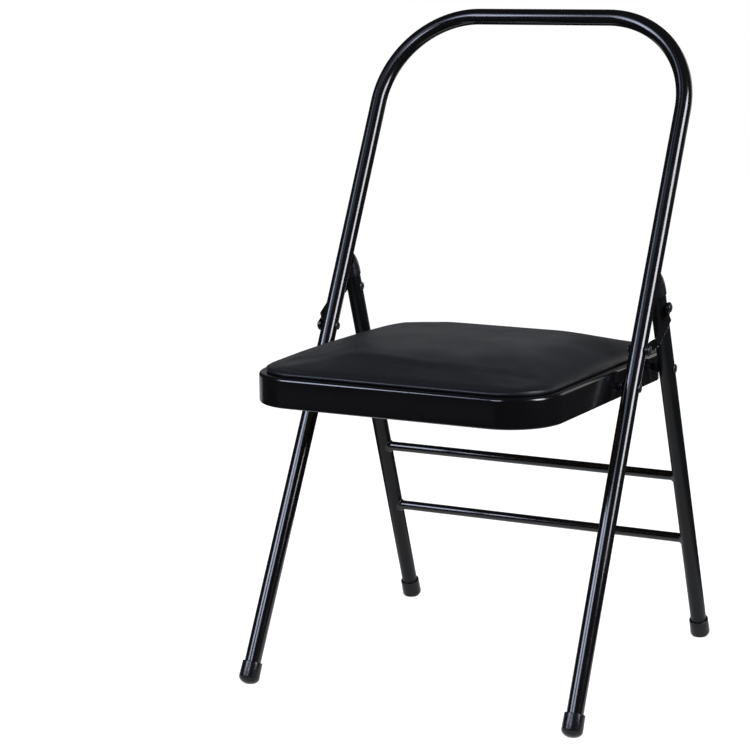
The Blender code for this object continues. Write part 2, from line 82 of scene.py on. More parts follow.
# Axes that the pieces are drawn in: X across, Y in front or behind, Z along the legs.
frontAxes = Matrix.Translation((0, frontFloorY, 0)) @ Matrix.Rotation(-chair["frontLean"], 4, "X")
rearAxes = (Matrix.Translation((0, seatPivotY + rearPivotRun, rearPivotHeight))
            @ Matrix.Rotation(chair["rearLean"], 4, "X")
            @ Matrix.Translation((0, 0, -rearPivotAlong)))


# Colours, nodes and meshes

def toLinear(hexColour):
    channels = []
    for start in (0, 2, 4):
        value = int(hexColour[start:start + 2], 16) / 255
        channels.append(value / 12.92 if value <= 0.04045 else ((value + 0.055) / 1.055) ** 2.4)
    return (*channels, 1.0)


def perMetre(millimetres):  # scale of a pattern whose cells are this many millimetres wide
    return 1000 / millimetres


def addNode(tree, kind, inputs=None, **settings):  # a node as an input stands for its first output
    node = tree.nodes.new(kind)
    for name, value in settings.items():
        setattr(node, name, value)
    for name, value in (inputs or {}).items():
        if isinstance(value, bpy.types.Node):
            value = next(output for output in value.outputs if output.enabled)
        if isinstance(value, bpy.types.NodeSocket):
            tree.links.new(value, node.inputs[name])
        else:
            node.inputs[name].default_value = value
    return node


def startFinish(name, colour, roughness, clouds, stretch=None, **sockets):
    finish = bpy.data.materials.new(name)
    finish.use_nodes = True
    tree = finish.node_tree
    shader = tree.nodes["Principled BSDF"]
    shader.inputs["Base Color"].default_value = toLinear(colour)
    shader.inputs["Roughness"].default_value = roughness
    for socket, value in sockets.items():
        shader.inputs[socket.replace("_", " ")].default_value = value
    place = addNode(tree, "ShaderNodeTexCoord").outputs["Object"]
    if stretch:
        place = addNode(tree, "ShaderNodeMapping", {"Vector": place, "Scale": stretch})
    patterns = []
    for millimetres, detail, bent in clouds:  # cell size, how fine it goes on, how far it is bent
        cloud = addNode(tree, "ShaderNodeTexNoise", {
            "Vector": place, "Scale": perMetre(millimetres), "Detail": detail, "Distortion": bent})
        patterns.append(cloud)
    return (finish, *patterns)


# A pattern, between its low and high values, blends two colours, moves the roughness or lifts
# the surface by its depth. None for the first colour stands for the colour so far.
def usePattern(finish, pattern, low=0.0, high=1.0, most=1.0, colours=None, roughness=None, depth=None):
    tree = finish.node_tree
    shader = tree.nodes["Principled BSDF"].inputs
    least, most = roughness or (0.0, most)
    share = addNode(tree, "ShaderNodeMapRange", {
        "Value": pattern, "From Min": low, "From Max": high,
        "To Min": least, "To Max": most}).outputs["Result"]
    if roughness:
        tree.links.new(share, shader["Roughness"])
    if colours:
        blend = addNode(tree, "ShaderNodeMix", {0: share, 7: toLinear(colours[1])}, data_type="RGBA")
        if colours[0]:
            blend.inputs[6].default_value = toLinear(colours[0])
        else:
            tree.links.new(shader["Base Color"].links[0].from_socket, blend.inputs[6])
        tree.links.new(blend.outputs[2], shader["Base Color"])
    if depth:
        lift = addNode(tree, "ShaderNodeBump", {"Height": share, "Distance": depth})
        if shader["Normal"].is_linked:
            tree.links.new(shader["Normal"].links[0].from_socket, lift.inputs["Normal"])
        tree.links.new(lift.outputs["Normal"], shader["Normal"])


def addToScene(name, data):
    item = bpy.data.objects.new(name, data)
    bpy.context.scene.collection.objects.link(item)
    return item


def makePiece(name, shape, finish, place=None, sharpAngle=35):
    bmesh.ops.remove_doubles(shape, verts=shape.verts, dist=chair["mergeWithin"])
    if place is not None:
        shape.transform(place)
    bmesh.ops.recalc_face_normals(shape, faces=shape.faces)
    mesh = bpy.data.meshes.new(name)
    shape.to_mesh(mesh)
    shape.free()
    mesh.materials.append(finish)
    mesh.shade_smooth()
    mesh.set_sharp_from_angle(angle=math.radians(sharpAngle))
    return addToScene(name, mesh)


def belongs(piece, body, slot, *nodes):
    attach(piece, body)
    if nodes:
        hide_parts(*nodes)


def bothHands(*names):
    return [name + "_" + word for name in names for side, word in sides]


def arcPoints(centre, radius, start, end, steps):
    points = []
    for step in range(steps + 1):
        angle = math.radians(start + (end - start) * step / steps)
        points.append((centre[0] + radius * math.cos(angle), centre[1] + radius * math.sin(angle)))
    return points


def quarterTurns(steps, first=0):  # even angles up to a right angle
    return [math.pi / 2 * step / steps for step in range(first, steps + 1)]


def smoothStep(share):
    share = min(max(share, 0.0), 1.0)
    return share * share * (3 - 2 * share)


def turnedShape(profile, steps, ring=False):
    shape = bmesh.new()
    points = [shape.verts.new((radius, 0.0, height)) for radius, height in profile]
    edges = [shape.edges.new(pair) for pair in zip(points, points[1:])]
    if ring:
        edges.append(shape.edges.new((points[-1], points[0])))
    bmesh.ops.spin(shape, geom=points + edges, axis=(0, 0, 1), cent=(0, 0, 0), steps=steps,
                   angle=2 * math.pi)
    bmesh.ops.remove_doubles(shape, verts=shape.verts, dist=chair["mergeWithin"])
    bmesh.ops.recalc_face_normals(shape, faces=shape.faces)
    return shape


def loftedShape(loops, ring=False):
    shape = bmesh.new()
    rows = [[shape.verts.new(point) for point in loop] for loop in loops]
    pairs = list(zip(rows, rows[1:]))
    if ring:
        pairs.append((rows[-1], rows[0]))
    else:
        shape.faces.new(rows[0])
        shape.faces.new(rows[-1])
    for low, high in pairs:
        for index in range(len(low)):
            after = (index + 1) % len(low)
            shape.faces.new((low[index], low[after], high[after], high[index]))
    return shape


def cutShape(shape, place, kept):  # a flat cut; the side that "kept" points to stays
    cut = bmesh.ops.bisect_plane(shape, geom=shape.verts[:] + shape.edges[:] + shape.faces[:],
                                 plane_co=place, plane_no=kept, clear_inner=True)
    rim = [item for item in cut["geom_cut"] if isinstance(item, bmesh.types.BMEdge)]
    bmesh.ops.holes_fill(shape, edges=rim, sides=0)


def turnTo(place, direction):
    return Matrix.Translation(place) @ Vector(direction).to_track_quat("Z", "Y").to_matrix().to_4x4()


# Finishes

# Hand marks are clouds of duller shine; the orange peel's cells are about 2.4 mm wide.
enamel = {"colour": "070708", "roughness": 0.13, "handled": 0.19, "handSize": 45, "peelSize": 2.4,
          "peelDepth": 0.0000014}


def glossBlackEnamel():  # stoved enamel on steel: near black, wet shine, faint orange peel
    finish, hands, peel = startFinish(
        "glossBlackEnamel", enamel["colour"], enamel["roughness"],
        ((enamel["handSize"], 4.0, 0.0), (enamel["peelSize"], 1.0, 0.0)), IOR=1.4)
    usePattern(finish, hands, 0.42, 0.68, roughness=(enamel["roughness"], enamel["handled"]))
    usePattern(finish, peel, depth=enamel["peelDepth"])
    return finish


# The coat's real grain is finer than 0.5 mm; it is drawn that coarse so that it shows close up.
satin = {"colour": "08090A", "roughness": (0.32, 0.42), "cloudSize": 60, "grainSize": 0.5,
         "grainDepth": 0.000012}


def satinBlackEnamel():  # thinner satin coat on the rear legs: even dark grey, fine dry grain
    finish, clouds, grain = startFinish(
        "satinBlackEnamel", satin["colour"], satin["roughness"][0],
        ((satin["cloudSize"], 3.0, 0.0), (satin["grainSize"], 2.0, 0.0)), IOR=1.27)
    usePattern(finish, clouds, 0.35, 0.65, roughness=satin["roughness"])
    usePattern(finish, grain, depth=satin["grainDepth"])
    return finish


vinyl = {"colour": "0C0D0F", "worn": "101113", "sheen": "9A9DA6", "roughness": (0.38, 0.28),
         "pebbleSize": 1.3, "pebbleDepth": 0.00006, "pebbleBend": 0.0012, "bendSize": 3.0,
         "creaseSize": 9.0, "creaseDepth": 0.00012, "wearSize": 70}


def blackVinyl():  # coated cloth cover: soft black with a pebbled grain and dry, wide shine
    finish, creases, wear = startFinish(
        "blackVinyl", vinyl["colour"], vinyl["roughness"][0],
        ((vinyl["creaseSize"], 5.0, 1.4), (vinyl["wearSize"], 4.0, 0.0)),
        IOR=1.32, Sheen_Weight=0.03, Sheen_Roughness=0.45, Sheen_Tint=toLinear(vinyl["sheen"]))
    tree = finish.node_tree
    place = tree.nodes["Texture Coordinate"].outputs["Object"]
    warp = addNode(tree, "ShaderNodeTexNoise", {
        "Vector": place, "Scale": perMetre(vinyl["bendSize"]), "Detail": 2.0})
    nudge = addNode(tree, "ShaderNodeVectorMath", {
        0: warp.outputs["Color"], 1: (vinyl["pebbleBend"],) * 3}, operation="MULTIPLY")
    moved = addNode(tree, "ShaderNodeVectorMath", {0: place, 1: nudge})
    pebbles = addNode(tree, "ShaderNodeTexVoronoi", {
        "Vector": moved, "Scale": perMetre(vinyl["pebbleSize"])},
        feature="DISTANCE_TO_EDGE")
    usePattern(finish, creases, depth=vinyl["creaseDepth"])
    usePattern(finish, pebbles, 0.0, 0.22, depth=vinyl["pebbleDepth"])
    usePattern(finish, wear, 0.45, 0.7, colours=(vinyl["colour"], vinyl["worn"]))
    usePattern(finish, wear, 0.4, 0.7, roughness=vinyl["roughness"])
    return finish


rubber = {"colour": "0B0C0D", "dust": "1D1C1A", "dustHeight": 0.006, "roughness": (0.15, 0.30),
          "speckSize": 2.0, "skinSize": 0.7, "skinDepth": 0.000012}


def blackRubber():  # moulded cups: dense black with a dull shine, dusty where they meet the floor
    finish, specks, skin = startFinish(
        "blackRubber", rubber["colour"], rubber["roughness"][0],
        ((rubber["speckSize"], 4.0, 0.0), (rubber["skinSize"], 2.0, 0.0)), IOR=1.29)
    tree = finish.node_tree
    place = tree.nodes["Texture Coordinate"].outputs["Object"]
    height = addNode(tree, "ShaderNodeSeparateXYZ", {"Vector": place}).outputs["Z"]
    low = addNode(tree, "ShaderNodeMapRange", {
        "Value": height, "From Max": rubber["dustHeight"], "To Min": 0.5, "To Max": 0.0})
    dust = addNode(tree, "ShaderNodeMath", {0: low, 1: specks},
                   operation="MULTIPLY")
    usePattern(finish, dust, colours=(rubber["colour"], rubber["dust"]))
    usePattern(finish, specks, 0.35, 0.65, roughness=rubber["roughness"])
    usePattern(finish, skin, depth=rubber["skinDepth"])
    return finish


plastic = {"colour": "111214", "roughness": (0.20, 0.31), "flowSize": 5.0, "flowDepth": 0.00001}


def blackPlastic():  # injection-moulded caps: smooth, a little waxy, with flow ripples
    finish, flow = startFinish("blackPlastic", plastic["colour"], plastic["roughness"][0],
                               ((plastic["flowSize"], 2.0, 0.8),), IOR=1.48)
    usePattern(finish, flow, 0.35, 0.65, roughness=plastic["roughness"])
    usePattern(finish, flow, depth=plastic["flowDepth"])
    return finish


steel = {"colour": "1B1C1E", "rubbed": "4A4B4E", "roughness": (0.36, 0.22), "rubSize": 1.6,
         "rubDepth": 0.00002}


def blackenedSteel():  # rivets, bushes and screws: dark oiled steel, paler where tools rubbed
    finish, rub = startFinish("blackenedSteel", steel["colour"], steel["roughness"][0],
                              ((steel["rubSize"], 5.0, 0.0),), Metallic=0.55)
    usePattern(finish, rub, 0.5, 0.72, colours=(steel["colour"], steel["rubbed"]))
    usePattern(finish, rub, 0.35, 0.7, roughness=steel["roughness"])
    usePattern(finish, rub, depth=steel["rubDepth"])
    return finish


birchBoard = {"pale": "BE9C6C", "grain": "94703F", "pores": "5F4426", "roughness": 0.62,
              "stretch": (1.0, 14.0, 14.0), "grainSize": 60, "poreSize": 9, "poreDepth": 0.00008}


def plywood():  # bare birch board under the seat: pale wavy grain with darker pores
    finish, grain, pores = startFinish(
        "plywood", birchBoard["pale"], birchBoard["roughness"],
        ((birchBoard["grainSize"], 6.0, 0.6), (birchBoard["poreSize"], 3.0, 0.0)),
        birchBoard["stretch"])
    usePattern(finish, grain, 0.35, 0.65, colours=(birchBoard["pale"], birchBoard["grain"]))
    usePattern(finish, pores, 0.6, 0.72, 0.7, colours=(None, birchBoard["pores"]))
    usePattern(finish, pores, depth=birchBoard["poreDepth"])
    return finish


# The threads are really about 0.5 mm apart; they are drawn wider so that they show.
knit = {"gaps": "1A1A1C", "threads": "38383B", "roughness": 0.9, "threadSize": 0.9,
        "threadDepth": 0.00015}


def clothBacking():  # knitted back of the cover, where its edge is turned under: dull charcoal
    finish = startFinish("clothBacking", knit["gaps"], knit["roughness"], (), Sheen_Weight=0.2)[0]
    tree = finish.node_tree
    place = tree.nodes["Texture Coordinate"].outputs["Object"]
    threads = []
    for turn in (45, -45):
        turned = addNode(tree, "ShaderNodeMapping", {
            "Vector": place, "Rotation": (0, 0, math.radians(turn))})
        wave = addNode(tree, "ShaderNodeTexWave", {
            "Vector": turned, "Distortion": 0.6,
            "Scale": perMetre(knit["threadSize"]) / (2 * math.pi)})
        threads.append(wave.outputs["Fac"])
    crossed = addNode(tree, "ShaderNodeMath", dict(enumerate(threads)), operation="MULTIPLY")
    usePattern(finish, crossed, colours=(knit["gaps"], knit["threads"]),
               depth=knit["threadDepth"])
    return finish


wire = {"dull": "8E9094", "bright": "C2C4C6", "roughness": (0.28, 0.45), "streakSize": 1.2}


def zincSteel():  # staple wire: bright grey with dull streaks
    finish, streaks = startFinish("zincSteel", wire["dull"], wire["roughness"][0],
                                  ((wire["streakSize"], 3.0, 0.0),), Metallic=1.0)
    usePattern(finish, streaks, colours=(wire["dull"], wire["bright"]))
    usePattern(finish, streaks, 0.3, 0.7, roughness=wire["roughness"])
    return finish


gloss = glossBlackEnamel()
satinCoat = satinBlackEnamel()
cover = blackVinyl()
moulded = blackRubber()
capPlastic = blackPlastic()
darkSteel = blackenedSteel()
birch = plywood()
backing = clothBacking()
zinc = zincSteel()
print("finishes made")


# Geometry node trees

def startTree(name, sockets):
    tree = bpy.data.node_groups.new(name, "GeometryNodeTree")
    tree.is_modifier = True
    tree.interface.new_socket("Geometry", in_out="INPUT", socket_type="NodeSocketGeometry")
    for label, kind in sockets.items():
        tree.interface.new_socket(label, in_out="INPUT", socket_type="NodeSocket" + kind)
    tree.interface.new_socket("Geometry", in_out="OUTPUT", socket_type="NodeSocketGeometry")
    return tree, addNode(tree, "NodeGroupInput").outputs


def endTree(tree, geometry, finish):
    whole = addNode(tree, "GeometryNodeRealizeInstances", {"Geometry": geometry})
    smooth = addNode(tree, "GeometryNodeSetShadeSmooth", {"Geometry": whole})
    coated = addNode(tree, "GeometryNodeSetMaterial", {"Geometry": smooth, "Material": finish})
    addNode(tree, "NodeGroupOutput", {"Geometry": coated})
    return tree


def bakeModifiers(piece, name):
    graph = bpy.context.evaluated_depsgraph_get()
    plain = bpy.data.meshes.new_from_object(piece.evaluated_get(graph))
    plain.name = name
    piece.modifiers.clear()
    piece.data = plain


def growPiece(name, mesh, tree, values, sharpAngle=35):
    piece = addToScene(name, mesh)
    grow = piece.modifiers.new(tree.name, "NODES")
    grow.node_group = tree
    for socket in tree.interface.items_tree:
        if socket.item_type == "SOCKET" and socket.in_out == "INPUT" and socket.name in values:
            grow[socket.identifier] = values[socket.name]
    bakeModifiers(piece, name)
    piece.data.set_sharp_from_angle(angle=math.radians(sharpAngle))
    return piece


def pointMesh(name, places, edges, **marks):  # each mark has a kind and a value for every point
    mesh = bpy.data.meshes.new(name)
    mesh.from_pydata(places, edges, [])
    for label, (kind, values) in marks.items():
        mark = mesh.attributes.new(label, kind, "POINT")
        for point, value in zip(mark.data, values):
            setattr(point, "vector" if kind == "FLOAT_VECTOR" else "value", value)
    return mesh


def sweptTube(tree, path, radius, sideCount):
    ring = addNode(tree, "GeometryNodeCurvePrimitiveCircle", {
        "Resolution": sideCount, "Radius": radius})
    skin = addNode(tree, "GeometryNodeCurveToMesh", {
        "Curve": path, "Profile Curve": ring, "Fill Caps": True})
    return skin


def outwardFacing(tree):
    outward = addNode(tree, "GeometryNodeInputNamedAttribute", {"Name": "outward"},
                      data_type="FLOAT_VECTOR")
    return addNode(tree, "FunctionNodeAlignRotationToVector", {"Vector": outward}, axis="Z")


def turnedByChance(tree, facing, least, most, seed, space):
    chance = addNode(tree, "FunctionNodeRandomValue", {
        "Min": least, "Max": most, "Seed": seed}, data_type="FLOAT")
    spin = addNode(tree, "ShaderNodeCombineXYZ", {"Z": chance})
    spun = addNode(tree, "FunctionNodeEulerToRotation", {"Euler": spin})
    return addNode(tree, "FunctionNodeRotateRotation", {
        "Rotation": facing, "Rotate By": spun},
        rotation_space=space)


def bentTubeTree():  # a path of straight runs, rounded at its corners and swept with a circle
    tree, given = startTree("bentTube", {
        "Tube radius": "Float", "Sides": "Int", "Bend steps": "Int", "Finish": "Material"})
    path = addNode(tree, "GeometryNodeMeshToCurve", {"Mesh": given["Geometry"]})
    bend = addNode(tree, "GeometryNodeInputNamedAttribute", {"Name": "bendRadius"},
                   data_type="FLOAT")
    rounded = addNode(tree, "GeometryNodeFilletCurve", {
        "Curve": path, "Radius": bend,
        "Count": given["Bend steps"]}, mode="POLY")
    skin = sweptTube(tree, rounded, given["Tube radius"], given["Sides"])
    return endTree(tree, skin, given["Finish"])


def partsTree():  # one small part on each point, facing outwards, turned by chance
    tree, given = startTree("partsOnPoints", {
        "Part": "Object", "Most turn": "Float", "Seed": "Int", "Finish": "Material"})
    part = addNode(tree, "GeometryNodeObjectInfo", {"Object": given["Part"]})
    placed = addNode(tree, "GeometryNodeInstanceOnPoints", {
        "Points": given["Geometry"], "Instance": part.outputs["Geometry"],
        "Rotation": turnedByChance(tree, outwardFacing(tree), 0.0, given["Most turn"],
                                   given["Seed"], "LOCAL")})
    return endTree(tree, placed, given["Finish"])


def rivetTree():  # an edge is a rivet's axis: a shank along it, a head and a tail at its ends
    tree, given = startTree("rivets", {
        "Head": "Object", "Tail": "Object", "Shank radius": "Float", "Sides": "Int",
        "Finish": "Material"})
    facing = outwardFacing(tree)
    path = addNode(tree, "GeometryNodeMeshToCurve", {"Mesh": given["Geometry"]})
    shank = sweptTube(tree, path, given["Shank radius"], given["Sides"])
    joined = addNode(tree, "GeometryNodeJoinGeometry", {"Geometry": shank})
    for label in ("Head", "Tail"):
        part = addNode(tree, "GeometryNodeObjectInfo", {"Object": given[label]})
        chosen = addNode(tree, "GeometryNodeInputNamedAttribute", {"Name": "is" + label},
                         data_type="BOOLEAN")
        ends = addNode(tree, "GeometryNodeInstanceOnPoints", {
            "Points": given["Geometry"], "Instance": part.outputs["Geometry"],
            "Selection": chosen, "Rotation": facing})
        tree.links.new(ends.outputs["Instances"], joined.inputs["Geometry"])
    return endTree(tree, joined, given["Finish"])


def stapleTree():  # wire staples at even steps along a path, each a little askew
    tree, given = startTree("staplesAlongPath", {
        "Spacing": "Float", "Staple width": "Float", "Wire": "Float", "Seed": "Int",
        "Finish": "Material"})
    path = addNode(tree, "GeometryNodeMeshToCurve", {"Mesh": given["Geometry"]})
    even = addNode(tree, "GeometryNodeResampleCurve", {
        "Curve": path, "Length": given["Spacing"]}, mode="LENGTH")
    size = addNode(tree, "ShaderNodeCombineXYZ", {
        "X": given["Staple width"], "Y": given["Wire"], "Z": given["Wire"]})
    bar = addNode(tree, "GeometryNodeMeshCube", {"Size": size})
    along = addNode(tree, "GeometryNodeInputTangent")
    facing = addNode(tree, "FunctionNodeAlignRotationToVector", {"Vector": along}, axis="X")
    placed = addNode(tree, "GeometryNodeInstanceOnPoints", {
        "Points": even, "Instance": bar,
        "Rotation": turnedByChance(tree, facing, -0.14, 0.14, given["Seed"], "GLOBAL")})
    return endTree(tree, placed, given["Finish"])


# Front frame, rear legs and rungs

tubes = {
    "archRadius": 0.119,
    "kinkRadius": 0.12,
    "sides": 64,
    "archSteps": 40,
    "footFloor": 0.0045,
    "rungRadius": 0.006,
    "rungSides": 48,
    "rungSink": 0.0012,
    "lowerRung": 0.1477,
    "upperRung": 0.2397,
    "capRadius": 0.011,
}

foldAngle = chair["frontLean"] + chair["rearLean"]
legSpread = seatPivotRun + rearPivotRun + rearPivotHeight * math.tan(chair["rearLean"])
crossingAlong = legSpread * math.cos(chair["frontLean"]) / math.sin(foldAngle)
capAlong = crossingAlong - (tubeRadius + tubes["capRadius"] + gap) / math.sin(foldAngle)
rearLinkAlong = capAlong - chair["linkPivotBelowCap"]


def frontHalf(along):
    return tubeHalf + chair["frontSplay"] * max(0.0, 1 - along / seatPivotAlong)


def rearHalf(along):
    return tubeHalf + chair["rearSplay"] * (1 - along / capAlong)


feet = {
    "wall": 0.0023,
    "topWall": 0.0019,
    "round": 0.0050,
    "length": 0.0235,
    "lip": 0.0007,
    "lipSteps": 4,
    "flat": 0.0010,
    "dome": 0.0038,
    "domeSteps": 18,
    "steps": 72,
}
footRadius = sleeveRadius + feet["wall"]


def footStart(lean):
    ring = footRadius - feet["round"]
    level = (feet["round"] + ring * math.sin(lean) - feet["flat"]) / math.cos(lean)
    return level - feet["round"]


tubeTree = bentTubeTree()


def bentTube(name, path, bendRadii, radius, sideCount, finish, axes):
    places = [axes @ Vector(point) for point in path]
    edges = [(index, index + 1) for index in range(len(path) - 1)]
    mesh = pointMesh(name + "Path", places, edges, bendRadius=("FLOAT", bendRadii))
    return growPiece(name, mesh, tubeTree, {
        "Tube radius": radius, "Sides": sideCount, "Bend steps": tubes["archSteps"],
        "Finish": finish})


def makeFrontFrame():
    start = footStart(chair["frontLean"]) + tubes["footFloor"] + gap
    right = [(frontHalf(start), 0, start), (tubeHalf, 0, seatPivotAlong), (tubeHalf, 0, topAlong)]
    path = right + [(-x, y, z) for x, y, z in reversed(right)]
    radii = [0, tubes["kinkRadius"], tubes["archRadius"]]
    tube = bentTube("frontFrameTube", path, radii + radii[::-1], tubeRadius, tubes["sides"], gloss,
                    frontAxes)
    belongs(tube, "front_frame", "gloss_black_enamel", "front_frame_tube")


def makeRearLegs():
    start = footStart(chair["rearLean"]) + tubes["footFloor"] + gap
    for side, word in sides:
        path = [(side * rearHalf(along), 0, along) for along in (start, capAlong - gap)]
        leg = bentTube("rearLeg" + word.title(), path, [0, 0], tubeRadius, tubes["sides"],
                       satinCoat, rearAxes)
        belongs(leg, "rear_frame", "satin_black_enamel", "rear_leg_" + word)


def makeRungs():
    for word in ("lower", "upper"):
        along = tubes[word + "Rung"]
        reach = rearHalf(along) - tubeRadius + tubes["rungSink"]
        rung = bentTube("rung" + word.title(), [(-reach, 0, along), (reach, 0, along)], [0, 0],
                        tubes["rungRadius"], tubes["rungSides"], gloss, rearAxes)
        belongs(rung, "rear_frame", "gloss_black_enamel", "rung_" + word)


# A hand-run weld bead round each rung's end: a hollow fillet with overlapping ripples.
welds = {
    "reach": 0.0034,
    "width": 0.0030,
    "sink": 0.0001,
    "steps": 96,
    "rows": 8,
    "ripples": 17,
    "rippleHeight": 0.00022,
    "rippleShift": 0.35,
    "wander": 0.12,
    "wanderScale": 1.7,
    "differ": 40,
}


def weldBead(side, along):
    loops = []
    for row, turn in enumerate(quarterTurns(welds["rows"])):
        spreadOut = welds["width"] * (1 - math.sin(turn))
        standOff = welds["reach"] * (1 - math.cos(turn))
        loop = []
        for step in range(welds["steps"]):
            angle = 2 * math.pi * step / welds["steps"]
            ripple = welds["rippleHeight"] * math.sin(turn * 2) * abs(
                math.sin(welds["ripples"] * angle / 2 + row * welds["rippleShift"]))
            around = Vector((math.cos(angle), math.sin(angle), side + along * welds["differ"]))
            wander = 1 + welds["wander"] * noise.noise(around * welds["wanderScale"])
            radius = tubes["rungRadius"] - welds["sink"] + spreadOut * wander + ripple
            y = radius * math.sin(angle)
            leg = math.sqrt(max(tubeRadius ** 2 - y ** 2, 0.0)) - welds["sink"]
            x = rearHalf(along) - leg - standOff * wander - ripple
            loop.append((side * x, y, along + radius * math.cos(angle)))
        loops.append(loop)
    return loftedShape(loops)


def makeWelds():
    for side, word in sides:
        for rung in ("lower", "upper"):
            bead = makePiece("weld" + rung.title() + word.title(),
                             weldBead(side, tubes[rung + "Rung"]), gloss, rearAxes, 60)
            belongs(bead, "rear_frame", "gloss_black_enamel")


makeFrontFrame()
makeRearLegs()
makeRungs()
makeWelds()
print("tubes and welds made")


# Rubber feet and leg caps

def footProfile():  # the bottom is a shallow dome, worn flat where it stands on the floor
    top, inner = sleeveRadius + feet["topWall"], sleeveRadius - gap / 2
    lip = feet["lip"]
    domeHeight = feet["round"] + feet["dome"]
    profile = [(footRadius * math.sin(turn), feet["round"] - domeHeight * math.cos(turn))
               for turn in quarterTurns(feet["domeSteps"])]
    profile += [(top, feet["length"] - lip)]
    profile += arcPoints((top - lip, feet["length"] - lip), lip, 0, 90, feet["lipSteps"])[1:]
    profile += [(inner, feet["length"]), (inner, tubes["footFloor"]), (0.0, tubes["footFloor"])]
    return profile


def makeFeet():
    for side, word in sides:
        for end, axes, half, reach in (("front", frontAxes, frontHalf, seatPivotAlong),
                                       ("rear", rearAxes, rearHalf, capAlong)):
            start = footStart(chair[end + "Lean"])
            shape = turnedShape(footProfile(), feet["steps"])
            shape.transform(axes @ turnTo((side * half(start), 0, start),
                                          (-side * chair[end + "Splay"], 0, reach)))
            cutShape(shape, (0, 0, 0), (0, 0, 1))
            foot = makePiece(end + "Foot" + word.title(), shape, moulded)
            belongs(foot, end + "_frame", "black_rubber", end + "_foot_" + word)


caps = {
    "skirt": 0.0085,
    "edge": 0.0003,
    "seam": 0.0012,
    "step": 0.0003,
    "dome": 0.0240,
    "domeSteps": 24,
    "steps": 72,
}


def makeCaps():  # tall domes, cut flat along the front tubes that they rest against
    radius, skirt, edge = tubes["capRadius"], caps["skirt"], caps["edge"]
    bore = sleeveRadius - gap / 2
    profile = [(0.0, skirt), (bore, skirt), (bore, 0.0), (radius - edge, 0.0), (radius, edge),
               (radius, skirt - caps["seam"])]
    profile += [((radius - caps["step"]) * math.cos(turn), skirt + caps["dome"] * math.sin(turn))
                for turn in quarterTurns(caps["domeSteps"])]
    start = capAlong - skirt
    for side, word in sides:
        shape = turnedShape(profile, caps["steps"])
        shape.transform(rearAxes @ turnTo((side * rearHalf(start), 0, start),
                                          (-side * chair["rearSplay"], 0, capAlong)))
        cutShape(shape, frontAxes @ Vector((0, tubeRadius + gap, 0)),
                 frontAxes.to_3x3() @ Vector((0, 1, 0)))
        cap = makePiece("legCap" + word.title(), shape, capPlastic)
        belongs(cap, "rear_frame", "black_plastic", "leg_cap_" + word)


makeFeet()
makeCaps()
print("feet and caps made")


# Seat pan, drawn from the rim's level above the front pivots

pan = {
    "halfWidth": 0.1915,
    "widening": 0.0018,
    "depth": 0.380,
    "height": 0.0355,
    "sheet": 0.0012,
    "frontCorner": 0.064,
    "rearCorner": 0.037,
    "leastCorner": 0.004,
    "rimBend": 0.0040,
    "hemBend": 0.0030,
    "rimFlange": 0.026,
    "hemFlange": 0.009,
    "bendSteps": 10,
    "edgeSteps": 6,
    "cornerSteps": 32,
}
seatMiddle = pan["depth"] / 2 - chair["seatFrontReach"]
panWall = pan["height"] - pan["rimBend"] - pan["hemBend"]
pivotBelowRim = pan["rimBend"] + (panWall + chair["seatPivotRise"]) / 2
rimLevel = chair["seatPivotHeight"] + pivotBelowRim
seatAxes = Matrix.Translation((0, seatPivotY, rimLevel))


def seatHalfAt(run):
    return pan["halfWidth"] + pan["widening"] * (run - seatMiddle) / pan["depth"]


def seatLoop(inset, height, cornerSteps=pan["cornerSteps"], edgeSteps=1):
    corners = ((1, -1, pan["frontCorner"], -90), (1, 1, pan["rearCorner"], 0),
               (-1, 1, pan["rearCorner"], 90), (-1, -1, pan["frontCorner"], 180))
    rounded = []
    for across, back, cornerRadius, start in corners:
        radius = max(cornerRadius - inset, pan["leastCorner"])
        centre = (across * (pan["halfWidth"] - inset - radius),
                  seatMiddle + back * (pan["depth"] / 2 - inset - radius))
        rounded.append(arcPoints(centre, radius, start, start + 90, cornerSteps))
    outline = []
    for corner, following in zip(rounded, rounded[1:] + rounded[:1]):
        outline += corner
        first, last = Vector(corner[-1]), Vector(following[0])
        outline += [tuple(first.lerp(last, step / edgeSteps)) for step in range(1, edgeSteps)]
    return [(x * seatHalfAt(y) / pan["halfWidth"], y, height) for x, y in outline]


def panSection():
    steps, edgeSteps = pan["bendSteps"], pan["edgeSteps"]
    rim, hem, sheet, height = pan["rimBend"], pan["hemBend"], pan["sheet"], pan["height"]
    rimCentre, hemCentre = (rim, -rim), (hem, hem - height)
    half = sheet / 2
    section = arcPoints(hemCentre, hem, 270, 180, steps)
    section += arcPoints(rimCentre, rim, 180, 90, steps)
    section += arcPoints((pan["rimFlange"], -half), half, 90, -90, edgeSteps)
    section += arcPoints(rimCentre, rim - sheet, 90, 180, steps)
    section += arcPoints(hemCentre, hem - sheet, 180, 270, steps)
    section += arcPoints((pan["hemFlange"], half - height), half, 90, -90, edgeSteps)
    return section


def makePan():
    shape = loftedShape([seatLoop(inset, height) for inset, height in panSection()], ring=True)
    belongs(makePiece("seatPan", shape, gloss, seatAxes, 50), "seat", "gloss_black_enamel",
            "seat_pan")


makePan()
print("pan made")


# Padded seat

